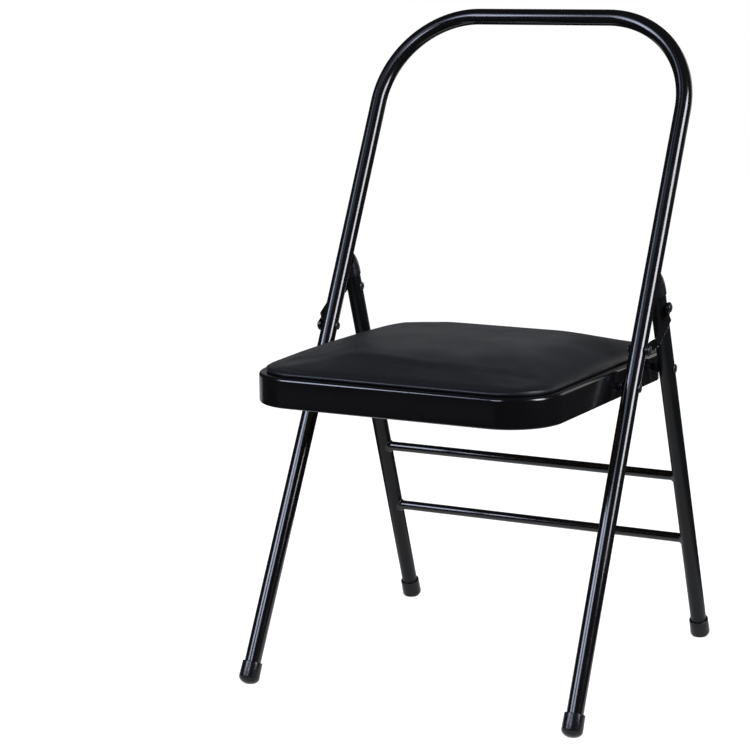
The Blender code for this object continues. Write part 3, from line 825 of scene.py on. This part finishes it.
cushion = {
    "inset": 0.0086,
    "drawIn": 0.0020,
    "wall": 0.0018,
    "widestHeight": 0.0026,
    "rollWidth": 0.016,
    "rollHeight": 0.0034,
    "crown": 0.0240,
    "startCrown": 0.0200,
    "acrossPower": 5.2,
    "alongPower": 3.0,
    "tuckSteps": 8,
    "rollSteps": 12,
    "rings": 52,
    "cornerSteps": 20,
    "edgeSteps": 40,
    "voxel": 0.004,
    "pressure": 4.0,
    "frames": 20,
    "mostRise": 0.0042,
    "riseReach": 0.060,
    "pinHeight": 0.0030,
    "neighbours": 60,
    "evenOut": 0.010,
    "boardThickness": 0.006,
    "fill": 0.85,
}

clothSettings = {
    "quality": 6,
    "mass": 0.35,
    "tension_stiffness": 18,
    "compression_stiffness": 18,
    "shear_stiffness": 6,
    "bending_stiffness": 1.2,
    "air_damping": 3.0,
    "vertex_group_mass": "tucked",
    "use_pressure": True,
    "uniform_pressure_force": cushion["pressure"],
}


def crownAt(x, y, crown):
    across = abs(x) / (pan["halfWidth"] - cushion["inset"])
    along = abs(y - seatMiddle) / (pan["depth"] / 2 - cushion["inset"])
    return (crown * (1 - min(across, 1.0) ** cushion["acrossPower"])
            * (1 - min(along, 1.0) ** cushion["alongPower"]))


def cushionShape(crown, recessed):  # rings from under the pad, over its roll, up to the middle
    inset, drawIn, widest = cushion["inset"], cushion["drawIn"], cushion["widestHeight"]
    profile = []
    if recessed:
        wall = inset + drawIn + cushion["wall"]
        profile = [(wall, 2 * gap + cushion["boardThickness"], 0), (wall, gap, 0)]
    profile.append((inset + drawIn, gap, 0))
    for turn in quarterTurns(cushion["tuckSteps"], 1):
        profile.append((inset + drawIn * (1 - math.sin(turn)),
                        gap + (widest - gap) * (1 - math.cos(turn)), 0))
    for turn in quarterTurns(cushion["rollSteps"], 1):
        profile.append((inset + cushion["rollWidth"] * (1 - math.cos(turn)),
                        widest + cushion["rollHeight"] * math.sin(turn), 1))
    start = inset + cushion["rollWidth"]
    reach = pan["halfWidth"] - 2 * pan["leastCorner"] - start
    top = widest + cushion["rollHeight"]
    for ring in range(1, cushion["rings"] + 1):
        profile.append((start + reach * ring / cushion["rings"], top, 1))
    loops = []
    for ringInset, height, crowned in profile:
        loop = seatLoop(ringInset, height, cushion["cornerSteps"], cushion["edgeSteps"])
        loops.append([(x, y, z + crowned * crownAt(x, y, crown)) for x, y, z in loop])
    return loftedShape(loops)


def edgeDistance(x, y):  # from a place on the seat to the pan's outer face
    return min(seatHalfAt(y) - abs(x), pan["depth"] / 2 - abs(y - seatMiddle))


def swellCopy():  # a solid copy of the cushion, blown up as cloth; returns places and moves
    copy = makePiece("swellingCopy", cushionShape(cushion["startCrown"], False), cover, seatAxes)
    remesh = copy.modifiers.new("evenMesh", "REMESH")
    remesh.mode = "VOXEL"
    remesh.voxel_size = cushion["voxel"]
    bakeModifiers(copy, "swellingCopy")
    before = [point.co.copy() for point in copy.data.vertices]
    pinned = copy.vertex_groups.new(name=clothSettings["vertex_group_mass"])
    low = rimLevel + cushion["pinHeight"]
    pinned.add([index for index, place in enumerate(before) if place.z < low], 1.0, "REPLACE")
    cloth = copy.modifiers.new("cover", "CLOTH")
    for name, value in clothSettings.items():
        setattr(cloth.settings, name, value)
    cloth.settings.effector_weights.gravity = 0.0
    cloth.collision_settings.use_collision = False
    cloth.collision_settings.use_self_collision = False
    for moment in range(1, cushion["frames"] + 1):
        bpy.context.scene.frame_set(moment)
    graph = bpy.context.evaluated_depsgraph_get()
    after = [point.co.copy() for point in copy.evaluated_get(graph).data.vertices]
    bpy.context.scene.frame_set(1)
    bpy.data.objects.remove(copy, do_unlink=True)
    most = cushion["mostRise"]
    moves = [new - old for old, new in zip(before, after)]
    return before, [move * (most / max(move.length, most)) for move in moves]


def inflate(pad):  # the pad follows its swollen copy, less and less towards its tucked edge
    places, moves = swellCopy()
    tree = kdtree.KDTree(len(places))
    for index, place in enumerate(places):
        tree.insert(place, index)
    tree.balance()
    for point in pad.data.vertices:
        weights, total = 0.0, Vector((0, 0, 0))
        for place, index, distance in tree.find_n(point.co, cushion["neighbours"]):
            weight = 1 / (distance + cushion["evenOut"]) ** 2
            weights += weight
            total += weight * moves[index]
        inner = edgeDistance(point.co.x, point.co.y - seatPivotY) - cushion["inset"]
        point.co += total / weights * smoothStep(inner / cushion["riseReach"])


# The cover's ripples: places and reaches in metres, the rest in waves to the metre and shares.
ripples = {
    "height": 0.00060,
    "start": 0.016,
    "ease": 0.020,
    "bandMiddle": 0.062,
    "bandReach": 0.030,
    "bandWaves": (7, 60),
    "bandSway": 0.5,
    "swayWaves": 19,
    "pullMiddle": 0.065,
    "pullReach": 0.035,
    "pullFans": 7,
    "pullWaves": 10,
    "sagWaves": 11,
    "shares": (1.2, 0.8, 0.9),
    "bandSlice": 1.7,
    "sagSlice": 8.0,
}


def rippleAt(x, y):  # long low ripples behind the front edge, pulls at the corners, soft sag
    front = y - (seatMiddle - pan["depth"] / 2)
    acrossWaves, alongWaves = ripples["bandWaves"]
    sway = ripples["bandSway"] * math.sin(x * ripples["swayWaves"])
    band = math.exp(-((front - ripples["bandMiddle"]) / ripples["bandReach"]) ** 2)
    band *= noise.noise(Vector((x * acrossWaves, front * alongWaves + sway, ripples["bandSlice"])))
    pulls = 0.0
    for across in (-1, 1):
        for end in (-1, 1):
            away = Vector((pan["halfWidth"] - across * x,
                           pan["depth"] / 2 - end * (y - seatMiddle)))
            fan = noise.noise(Vector((math.atan2(away.y, away.x) * ripples["pullFans"],
                                      away.length * ripples["pullWaves"], across + 3 * end)))
            pulls += fan * math.exp(
                -((away.length - ripples["pullMiddle"]) / ripples["pullReach"]) ** 2)
    sag = noise.noise(Vector((x * ripples["sagWaves"], y * ripples["sagWaves"],
                              ripples["sagSlice"])))
    shares = ripples["shares"]
    return ripples["height"] * (shares[0] * band + shares[1] * pulls + shares[2] * sag)


def makeCushion():
    crown = cushion["startCrown"]
    pad = makePiece("seatCushion", cushionShape(crown, True), cover, seatAxes, 60)
    inflate(pad)
    print("cushion top", round(max(point.co.z for point in pad.data.vertices) - rimLevel, 4))
    for point in pad.data.vertices:
        x, y = point.co.x, point.co.y - seatPivotY
        inside = min(max((edgeDistance(x, y) - ripples["start"]) / ripples["ease"], 0.0), 1.0)
        if point.co.z > rimLevel + cushion["rollHeight"] + cushion["widestHeight"]:
            point.co.z += rippleAt(x, y) * inside
    belongs(pad, "seat", "black_vinyl", "seat_cushion")


makeCushion()
print("cushion made")


# Links, drawn from the front pivot towards the rear one

links = {
    "standOff": 0.0020,
    "width": 0.0140,
    "thickness": 0.0018,
    "bow": 0.0057,
    "flatEnd": 0.0055,
    "ramp": 0.0100,
    "edgeRound": 0.0004,
    "roundSteps": 3,
    "bead": 0.0009,
    "beadStep": 0.0007,
    "beadSteps": 8,
    "stations": 72,
    "endSteps": 12,
}
linkInner = tubeHalf + tubeRadius + links["standOff"]
linkOuter = linkInner + links["thickness"]
linkFront = frontAxes @ Vector((0, 0, linkPivotAlong))
linkRear = rearAxes @ Vector((0, 0, rearLinkAlong))
linkLength = (linkRear - linkFront).length
linkAxes = Matrix.Translation(linkFront) @ Matrix.Rotation(
    math.atan2(linkFront.y - linkRear.y, linkRear.z - linkFront.z), 4, "X")


def linkShare(along):  # 0 on the flat ends, 1 along the bowed middle
    place = min(along, linkLength - along)
    return smoothStep((place - links["flatEnd"]) / links["ramp"])


def linkSection(across, share):  # the outer face lies lower beside the bead along its rear edge
    thickness, steps = links["thickness"], links["roundSteps"]
    bead = min(links["bead"], across / 2)
    soft = min(links["edgeRound"], across / 2)
    step = links["beadStep"] * share
    beadEnd = 180 - math.degrees(math.asin(1 - step / links["bead"]))
    section = arcPoints((across - bead, thickness - bead), bead, 0, beadEnd, links["beadSteps"])
    section += arcPoints((soft - across, thickness - step - soft), soft, 90, 180, steps)
    section += arcPoints((soft - across, soft), soft, 180, 270, steps)
    section += arcPoints((across - soft, soft), soft, 270, 360, steps)
    return section


def linkShape(side):
    half, quarters = links["width"] / 2, quarterTurns(links["endSteps"])
    places = [-half * math.cos(turn) for turn in quarters[:-1]]
    places += [linkLength * step / links["stations"] for step in range(links["stations"] + 1)]
    places += [linkLength + half * math.sin(turn) for turn in quarters[1:]]
    loops = []
    for along in places:
        beyond = max(-along, along - linkLength, 0.0)
        across = math.sqrt(max(half ** 2 - beyond ** 2, 0.0))
        share = linkShare(along)
        inner = linkInner + links["bow"] * share
        loops.append([(side * (inner + x), y, along) for y, x in linkSection(across, share)])
    return loftedShape(loops)


def makeLinks():
    for side, word in sides:
        strap = makePiece("link" + word.title(), linkShape(side), gloss, linkAxes)
        belongs(strap, "link_" + word, "gloss_black_enamel", "link_" + word)


makeLinks()
print("links made")


# Rivets, bushes and washers

rivets = {
    "shankRadius": 0.003,
    "shankSides": 32,
    "headRadius": 0.0055,
    "headHeight": 0.0022,
    "headSteps": 12,
    "tailRadius": 0.0050,
    "tailHeight": 0.0021,
    "rollSteps": 12,
    "pitSteps": 8,
    "washerRadius": 0.00625,
    "bushWide": 0.00625,
    "bushNarrow": 0.00475,
    "edge": 0.0002,
    "plateThickness": 0.0020,
    "steps": 40,
}


def hiddenPart(name, shape):
    part = makePiece(name, shape, darkSteel)
    bpy.context.scene.collection.objects.unlink(part)
    return part


def domeProfile():
    radius, height = rivets["headRadius"], rivets["headHeight"]
    edge = height / 4
    return [(0.0, 0.0), (radius, 0.0)] + [
        (radius * math.cos(turn), edge + (height - edge) * math.sin(turn))
        for turn in quarterTurns(rivets["headSteps"])]


# The formed end of a hollow rivet, rolled over with a pit in the middle. The bare numbers are
# shares of the roll's radius and of the shank's.
def tailProfile():
    radius, roll, shank = rivets["tailRadius"], rivets["tailHeight"] / 2, rivets["shankRadius"]
    profile = [(0.0, 0.0), (radius - roll * 0.4, 0.0)]
    profile += arcPoints((radius - roll, roll), roll, -50, 90, rivets["rollSteps"])
    profile += arcPoints((shank * 0.62 + roll, roll), roll, 90, 180, rivets["pitSteps"])
    profile += [(shank * 0.55, roll * 0.4), (0.0, roll * 0.25)]
    return profile


head = hiddenPart("rivetHead", turnedShape(domeProfile(), rivets["steps"]))
tail = hiddenPart("rivetTail", turnedShape(tailProfile(), rivets["steps"]))
rivetsTree = rivetTree()


def makeRivets(name, axes, pins, body, *nodes):  # a pin: outer end, inner end, has it a tail
    places, directions, edges, heads, tails = [], [], [], [], []
    for outer, inner, hasTail in pins:
        edges.append((len(places), len(places) + 1))
        outward = axes.to_3x3() @ (Vector(outer) - Vector(inner)).normalized()
        places += [axes @ Vector(outer), axes @ Vector(inner)]
        directions += [outward, -outward]
        heads += [True, False]
        tails += [False, hasTail]
    mesh = pointMesh(name + "Points", places, edges, outward=("FLOAT_VECTOR", directions),
                     isHead=("BOOLEAN", heads), isTail=("BOOLEAN", tails))
    piece = growPiece(name, mesh, rivetsTree, {
        "Head": head, "Tail": tail, "Shank radius": rivets["shankRadius"],
        "Sides": rivets["shankSides"], "Finish": darkSteel})
    belongs(piece, body, "blackened_steel", *nodes)


def seatRivet(side, tubeCentre, run, along):
    outer = tubeCentre + tubeRadius + gap
    inner = seatHalfAt(run) - pan["sheet"] - rivets["plateThickness"] - 2 * gap
    return (side * outer, 0, along), (side * inner, 0, along), True


def makePivots():
    front, rear = [], []
    for side, word in sides:
        front.append(seatRivet(side, tubeHalf, 0.0, seatPivotAlong))
        front.append(((side * (linkOuter + gap), 0, linkPivotAlong),
                      (side * (tubeHalf - tubeRadius - gap), 0, linkPivotAlong), True))
        rear.append(seatRivet(side, rearHalf(rearPivotAlong), rearPivotRun, rearPivotAlong))
        inner = rearHalf(rearLinkAlong) - tubeRadius - gap
        rear.append(((side * inner, 0, rearLinkAlong), (side * (linkInner - gap), 0, rearLinkAlong),
                     False))
    makeRivets("frontPivotRivets", frontAxes, front, "front_frame",
               *bothHands("seat_rivet_front", "link_rivet"))
    makeRivets("rearPivotRivets", rearAxes, rear, "rear_frame",
               *bothHands("seat_rivet_rear", "leg_rivet"))
    for side, word in sides:
        stud = ((side * (linkOuter + gap), 0, linkLength), (side * linkInner, 0, linkLength), False)
        makeRivets("link" + word.title() + "Stud", linkAxes, [stud], "link_" + word,
                   "link_stud_" + word)


def ringShape(outerRadius, innerEndRadius, thickness):
    bore, soft = rivets["shankRadius"] + gap, rivets["edge"]
    profile = [(bore, 0.0), (outerRadius - soft, 0.0), (outerRadius, -soft)]
    profile += [(innerEndRadius, -thickness + soft), (innerEndRadius - soft, -thickness)]
    profile += [(bore, -thickness)]
    return turnedShape(profile, rivets["steps"], ring=True)


def makeRings(name, axes, body, rings, *nodes):
    shape = bmesh.new()
    for x, along, outward, outerRadius, innerEndRadius, thickness in rings:
        ring = ringShape(outerRadius, innerEndRadius, thickness)
        ring.transform(axes @ turnTo((x, 0, along), (outward, 0, 0)))
        part = bpy.data.meshes.new(name)
        ring.to_mesh(part)
        ring.free()
        shape.from_mesh(part)
        bpy.data.meshes.remove(part)
    belongs(makePiece(name, shape, darkSteel), body, "blackened_steel", *nodes)


def makeBushesAndWashers():
    front, rear = [], []
    wide, narrow, washer = rivets["bushWide"], rivets["bushNarrow"], rivets["washerRadius"]
    face = linkInner - gap
    for side, word in sides:
        for rings, run, seatAlong, seatTube, linkAlong, linkTube in (
                (front, 0.0, seatPivotAlong, tubeHalf, linkPivotAlong, tubeHalf),
                (rear, rearPivotRun, rearPivotAlong, rearHalf(rearPivotAlong), rearLinkAlong,
                 rearHalf(rearLinkAlong))):
            outer = seatTube - tubeRadius - gap
            rings.append((side * outer, seatAlong, side, wide, narrow,
                          outer - seatHalfAt(run) - gap))
            rings.append((side * face, linkAlong, side, washer, washer,
                          face - linkTube - tubeRadius - gap))
    makeRings("frontPivotRings", frontAxes, "front_frame", front,
              *bothHands("seat_bush_front", "link_washer_front"))
    makeRings("rearPivotRings", rearAxes, "rear_frame", rear,
              *bothHands("seat_bush_rear", "link_washer_rear"))


makePivots()
makeBushesAndWashers()
print("pivots made")


# Underside of the seat: plates, screws, the cover's turned-under edge and its staples

plates = {"margin": 0.0023, "edge": 0.0003, "endSteps": 24}


def stadium(start, end, radius, steps):
    direction = math.degrees(math.atan2(end[1] - start[1], end[0] - start[0]))
    outline = arcPoints(end, radius, direction - 90, direction + 90, steps)
    return outline + arcPoints(start, radius, direction + 90, direction + 270, steps)


def makePlates():
    half = (panWall - chair["seatPivotRise"] - 2 * plates["margin"]) / 2
    soft, thick = plates["edge"], rivets["plateThickness"]
    ends = ((0.0, -pivotBelowRim), (rearPivotRun, chair["seatPivotRise"] - pivotBelowRim))
    for side, word in sides:
        loops = []
        for depth, radius in ((0.0, half - soft), (soft, half), (thick - soft, half),
                              (thick, half - soft)):
            inset = pan["sheet"] + gap + depth
            loops.append([(side * (seatHalfAt(y) - inset), y, z)
                          for y, z in stadium(*ends, radius, plates["endSteps"])])
        plate = makePiece("pivotPlate" + word.title(), loftedShape(loops), darkSteel, seatAxes)
        belongs(plate, "seat", "blackened_steel", "pivot_plate_" + word)


screws = {
    "count": 6,
    "shank": 0.0020,
    "head": 0.0040,
    "headHeight": 0.0024,
    "headEdge": 0.2,
    "headSteps": 10,
    "sides": 32,
    "length": 0.0062,
    "fromEdge": 0.0185,
    "pastCorner": 0.0175,
    "slotWidth": 0.0009,
    "slotLength": 0.0046,
    "slotDepth": 0.0013,
    "seed": 11,
}


def screwPart():
    headRadius, height, edge = screws["head"], screws["headHeight"], screws["headEdge"]
    shank, length = screws["shank"], screws["length"]
    profile = [(0.0, -length), (shank, -length + shank / 2), (shank, 0.0), (headRadius, 0.0)]
    profile += [(headRadius * math.cos(turn), height * (edge + (1 - edge) * math.sin(turn)))
                for turn in quarterTurns(screws["headSteps"])]
    part = makePiece("boardScrew", turnedShape(profile, screws["sides"]), darkSteel)
    slots = bmesh.new()
    size = Matrix.Diagonal((screws["slotLength"], screws["slotWidth"], 2 * screws["slotDepth"], 1))
    for turn in (0, math.pi / 2):
        bmesh.ops.create_cube(slots, matrix=Matrix.Translation((0, 0, height)) @ Matrix.Rotation(
            turn, 4, "Z") @ size)
    cutter = makePiece("screwSlots", slots, darkSteel)
    cut = part.modifiers.new("slots", "BOOLEAN")
    cut.operation, cut.object, cut.use_self = "DIFFERENCE", cutter, True
    bakeModifiers(part, "boardScrew")
    part.data.set_sharp_from_angle(angle=math.radians(35))
    bpy.context.scene.collection.objects.unlink(part)
    bpy.data.objects.remove(cutter, do_unlink=True)
    return part


def makeScrews():
    side = pan["halfWidth"] - screws["fromEdge"]
    cornerSide = pan["halfWidth"] - pan["frontCorner"] - screws["pastCorner"]
    cornerRun = pan["depth"] / 2 - screws["fromEdge"]
    places = [(-side, seatMiddle), (side, seatMiddle)]
    for run in (seatMiddle - cornerRun, seatMiddle + cornerRun):
        places += [(-cornerSide, run), (cornerSide, run)]
    points = [seatAxes @ Vector((x, y, -pan["sheet"] - gap)) for x, y in places]
    downwards = [(0, 0, -1)] * screws["count"]
    mesh = pointMesh("boardScrewPoints", points, [], outward=("FLOAT_VECTOR", downwards))
    piece = growPiece("boardScrews", mesh, partsTree(), {
        "Part": screwPart(), "Most turn": math.pi, "Seed": screws["seed"], "Finish": darkSteel})
    belongs(piece, "seat", "blackened_steel",
            *["board_screw_" + str(number + 1) for number in range(screws["count"])])


hem = {"outer": 0.021, "inner": 0.040, "lift": 0.00006, "thickness": 0.00018, "wave": 0.0016,
       "waves": 34, "waveSlice": 2.0, "cornerSteps": 32, "edgeSteps": 48}


def makeHem():  # the cover's cut edge, drawn over the board and held by staples
    low, high = hem["lift"], hem["lift"] + hem["thickness"]
    loops = []
    for inset, height in ((hem["outer"], low), (hem["inner"], low), (hem["inner"], high),
                          (hem["outer"], high)):
        loop = []
        size = hem["wave"] if inset == hem["inner"] else 0.0
        for x, y, z in seatLoop(inset, height, hem["cornerSteps"], hem["edgeSteps"]):
            wave = size * noise.noise(Vector((x * hem["waves"], y * hem["waves"],
                                              hem["waveSlice"])))
            inwards = Vector((-x, seatMiddle - y)).normalized() * wave
            loop.append((x + inwards.x, y + inwards.y, z))
        loops.append(loop)
    piece = makePiece("coverHem", loftedShape(loops, ring=True), backing, seatAxes)
    belongs(piece, "seat", "black_vinyl")


staples = {"inset": 0.0345, "spacing": 0.031, "width": 0.0100, "wire": 0.0007, "cornerSteps": 12,
           "seed": 5}


def makeStaples():
    loop = seatLoop(staples["inset"], -staples["wire"] / 2, staples["cornerSteps"])
    edges = [(index, (index + 1) % len(loop)) for index in range(len(loop))]
    mesh = pointMesh("staplePath", [seatAxes @ Vector(point) for point in loop], edges)
    piece = growPiece("coverStaples", mesh, stapleTree(), {
        "Spacing": staples["spacing"], "Staple width": staples["width"],
        "Wire": staples["wire"], "Seed": staples["seed"], "Finish": zinc})
    belongs(piece, "seat", "blackened_steel")


def refinish(node, finish):
    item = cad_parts[node]
    item.data.materials.clear()
    item.data.materials.append(finish)


makePlates()
makeScrews()
makeHem()
makeStaples()
refinish("seat_board", birch)
print("underside made")


# Studio: pale floor, soft panels, dark cloths round the set that only mirror-like shine sees

studio = {
    "floorRadius": 30.0,
    "floorSides": 96,
    "floorDrop": 0.0002,
    "floorColour": "8A8A8A",
    "floorLift": 0.88,
    "ambient": 0.50,
    "clothTone": 0.035,
    "clothRadius": 6.0,
    "clothHeight": 0.004,
    "clothRings": (0.45, 1.5, 2.2, 2.7, 6.0),
    "clothSteps": 45,
    "aimHeight": 0.45,
}

raisedCards = {  # pale parts of the cloth dome: middle azimuth, half width, elevations, tone, tint
    "lowCard": (206, 20, 6, 14, 0.12, "FFFFFF"),
    "highCard": (212, 17, 14, 33, 0.27, "FFFFFF"),
    "rimCard": (165, 14, 2, 30, 1.3, "FFFFFF"),
    "leftLowCard": (-47, 15, 36, 41, 8.0, "D4E2FF"),
    "leftCard": (-48, 14, 41, 43, 3.6, "D4E2FF"),
    "leftHighCard": (-48, 12, 43, 47, 1.4, "D4E2FF"),
    "frontCard": (-12, 20, 36, 43, 4.4, "D4E2FF"),
    "frontHighCard": (-10, 12, 43, 60, 1.0, "D4E2FF"),
}

floorCards = {  # pale parts of the cloths on the floor: the same with distances for elevations
    "backFloorCard": (-122, 20, 1.5, 2.7, 0.55, "FFFFFF"),
    "frontFloorCard": (-26, 24, 1.5, 2.7, 0.14, "FFFFFF"),
    "linkFloorCard": (181, 16, 1.5, 2.2, 1.6, "FFFFFF"),
}

panels = {  # azimuth from the front to the right, run, middle height, width, height, radiance, tint
    "leftPanel": (-38.5, 2.35, 1.48, 0.82, 1.02, 18.5, "DDE4FF"),
    "middlePanel": (-26, 2.3, 1.62, 0.40, 0.45, 9.0, "DDE4FF"),
    "frontPanel": (-1, 1.95, 1.30, 0.65, 0.56, 16.0, "E3E8FF"),
    "rightStrip": (84, 2.0, 1.36, 0.78, 1.30, 26.0, "F4F6FF"),
    "topPanel": (-20, 0.4, 2.60, 1.3, 1.3, 1.3, "FFFFFF"),
}


def backgroundShare(tree):  # 1 for what the camera, mirror-like shine and clear parts see
    rays = addNode(tree, "ShaderNodeLightPath").outputs
    first = addNode(tree, "ShaderNodeMath", {0: rays["Is Camera Ray"], 1: rays["Is Glossy Ray"]},
                    operation="MAXIMUM")
    both = addNode(tree, "ShaderNodeMath", {0: first,
                                            1: rays["Is Transmission Ray"]}, operation="MAXIMUM")
    return both


def makeWorld():
    world = bpy.data.worlds.new("studioWorld")
    world.use_nodes = True
    tree = world.node_tree
    tree.nodes.clear()
    ambient, white = [addNode(tree, "ShaderNodeBackground", {
        "Color": toLinear("FFFFFF"), "Strength": strength}) for strength in (studio["ambient"], 1.0)]
    mixed = addNode(tree, "ShaderNodeMixShader", {0: backgroundShare(tree), 1: ambient, 2: white})
    addNode(tree, "ShaderNodeOutputWorld", {"Surface": mixed})
    bpy.context.scene.world = world


def makeFloor():  # matt paper that takes the shadow and is lifted to white for the camera
    paper = startFinish("paleFloor", studio["floorColour"], 1.0, (), Specular_IOR_Level=0.0,
                        Emission_Color=toLinear("FFFFFF"))[0]
    tree = paper.node_tree
    lift = addNode(tree, "ShaderNodeMath", {0: backgroundShare(tree), 1: studio["floorLift"]},
                   operation="MULTIPLY")
    tree.links.new(lift.outputs["Value"], tree.nodes["Principled BSDF"].inputs["Emission Strength"])
    shape = bmesh.new()
    bmesh.ops.create_circle(shape, cap_ends=True, segments=studio["floorSides"],
                            radius=studio["floorRadius"])
    drop = Matrix.Translation((0, 0, -studio["floorDrop"]))
    makePiece("studioFloor", shape, paper, drop)


def glowing(name, tone, tint="FFFFFF"):  # an even tone, for cloths and cards that only shine sees
    finish = bpy.data.materials.new(name)
    finish.use_nodes = True
    tree = finish.node_tree
    tree.nodes.clear()
    glow = addNode(tree, "ShaderNodeEmission", {"Color": toLinear(tint), "Strength": tone})
    addNode(tree, "ShaderNodeOutputMaterial", {"Surface": glow})
    return finish


def makeCloths():
    cards = {**raisedCards, **floorCards}
    radius, level, steps = studio["clothRadius"], studio["clothHeight"], studio["clothSteps"]
    profile = [(run, level) for run in studio["clothRings"]]
    profile += arcPoints((0.0, level), radius, 0, 90, steps)[1:]
    shape = turnedShape(profile, 2 * steps)
    for face in shape.faces:
        place = face.calc_center_median()
        azimuth = math.degrees(math.atan2(place.x, -place.y))
        run = math.hypot(place.x, place.y)
        raised = place.z > 2 * level
        where = math.degrees(math.atan2(place.z, run)) if raised else run
        for slot, (name, (middle, half, low, high, *_)) in enumerate(cards.items(), 1):
            turned = abs((azimuth - middle + 180) % 360 - 180) < half
            if turned and low < where < high and raised == (name in raisedCards):
                face.material_index = slot
    cloths = makePiece("darkCloths", shape, glowing("darkCloth", studio["clothTone"]))
    for name, card in cards.items():
        cloths.data.materials.append(glowing(name, *card[4:]))
    cloths.visible_camera = False
    cloths.visible_diffuse = False
    cloths.visible_transmission = False
    cloths.visible_shadow = False


def makePanels():
    aim = Vector((0, 0, studio["aimHeight"]))
    for name, (azimuth, run, middle, width, height, radiance, tint) in panels.items():
        turn = math.radians(azimuth)
        place = Vector((math.sin(turn) * run, -math.cos(turn) * run, middle))
        lamp = bpy.data.lights.new(name, "AREA")
        lamp.shape = "RECTANGLE"
        lamp.size, lamp.size_y = width, height
        lamp.energy = radiance * math.pi * width * height
        lamp.color = toLinear(tint)[:3]
        light = addToScene(name, lamp)
        light.visible_camera = False
        light.visible_glossy = name != "topPanel"
        light.location = place
        light.rotation_euler = (place - aim).to_track_quat("Z", "Y").to_euler()


# Camera at the photograph's place and angle
camera = {
    "place": (1.1361, -2.3001, 0.8455),
    "azimuth": 26.33,
    "elevation": 10.65,
    "roll": -0.177,
    "lens": 103.3,
    "shift": -0.1333,
}


def makeCamera():
    turn, rise = math.radians(camera["azimuth"]), math.radians(camera["elevation"])
    back = (math.sin(turn) * math.cos(rise), -math.cos(turn) * math.cos(rise), math.sin(rise))
    data = bpy.data.cameras.new("photoCamera")
    data.lens = camera["lens"]
    data.shift_x = camera["shift"]
    holder = addToScene("photoCamera", data)
    roll = Matrix.Rotation(math.radians(camera["roll"]), 4, "Z")
    holder.matrix_world = turnTo(camera["place"], back) @ roll
    bpy.context.scene.camera = holder
    bpy.context.scene.view_settings.view_transform = "Standard"


makeWorld()
makeFloor()
makeCloths()
makePanels()
makeCamera()
print("studio and camera made")
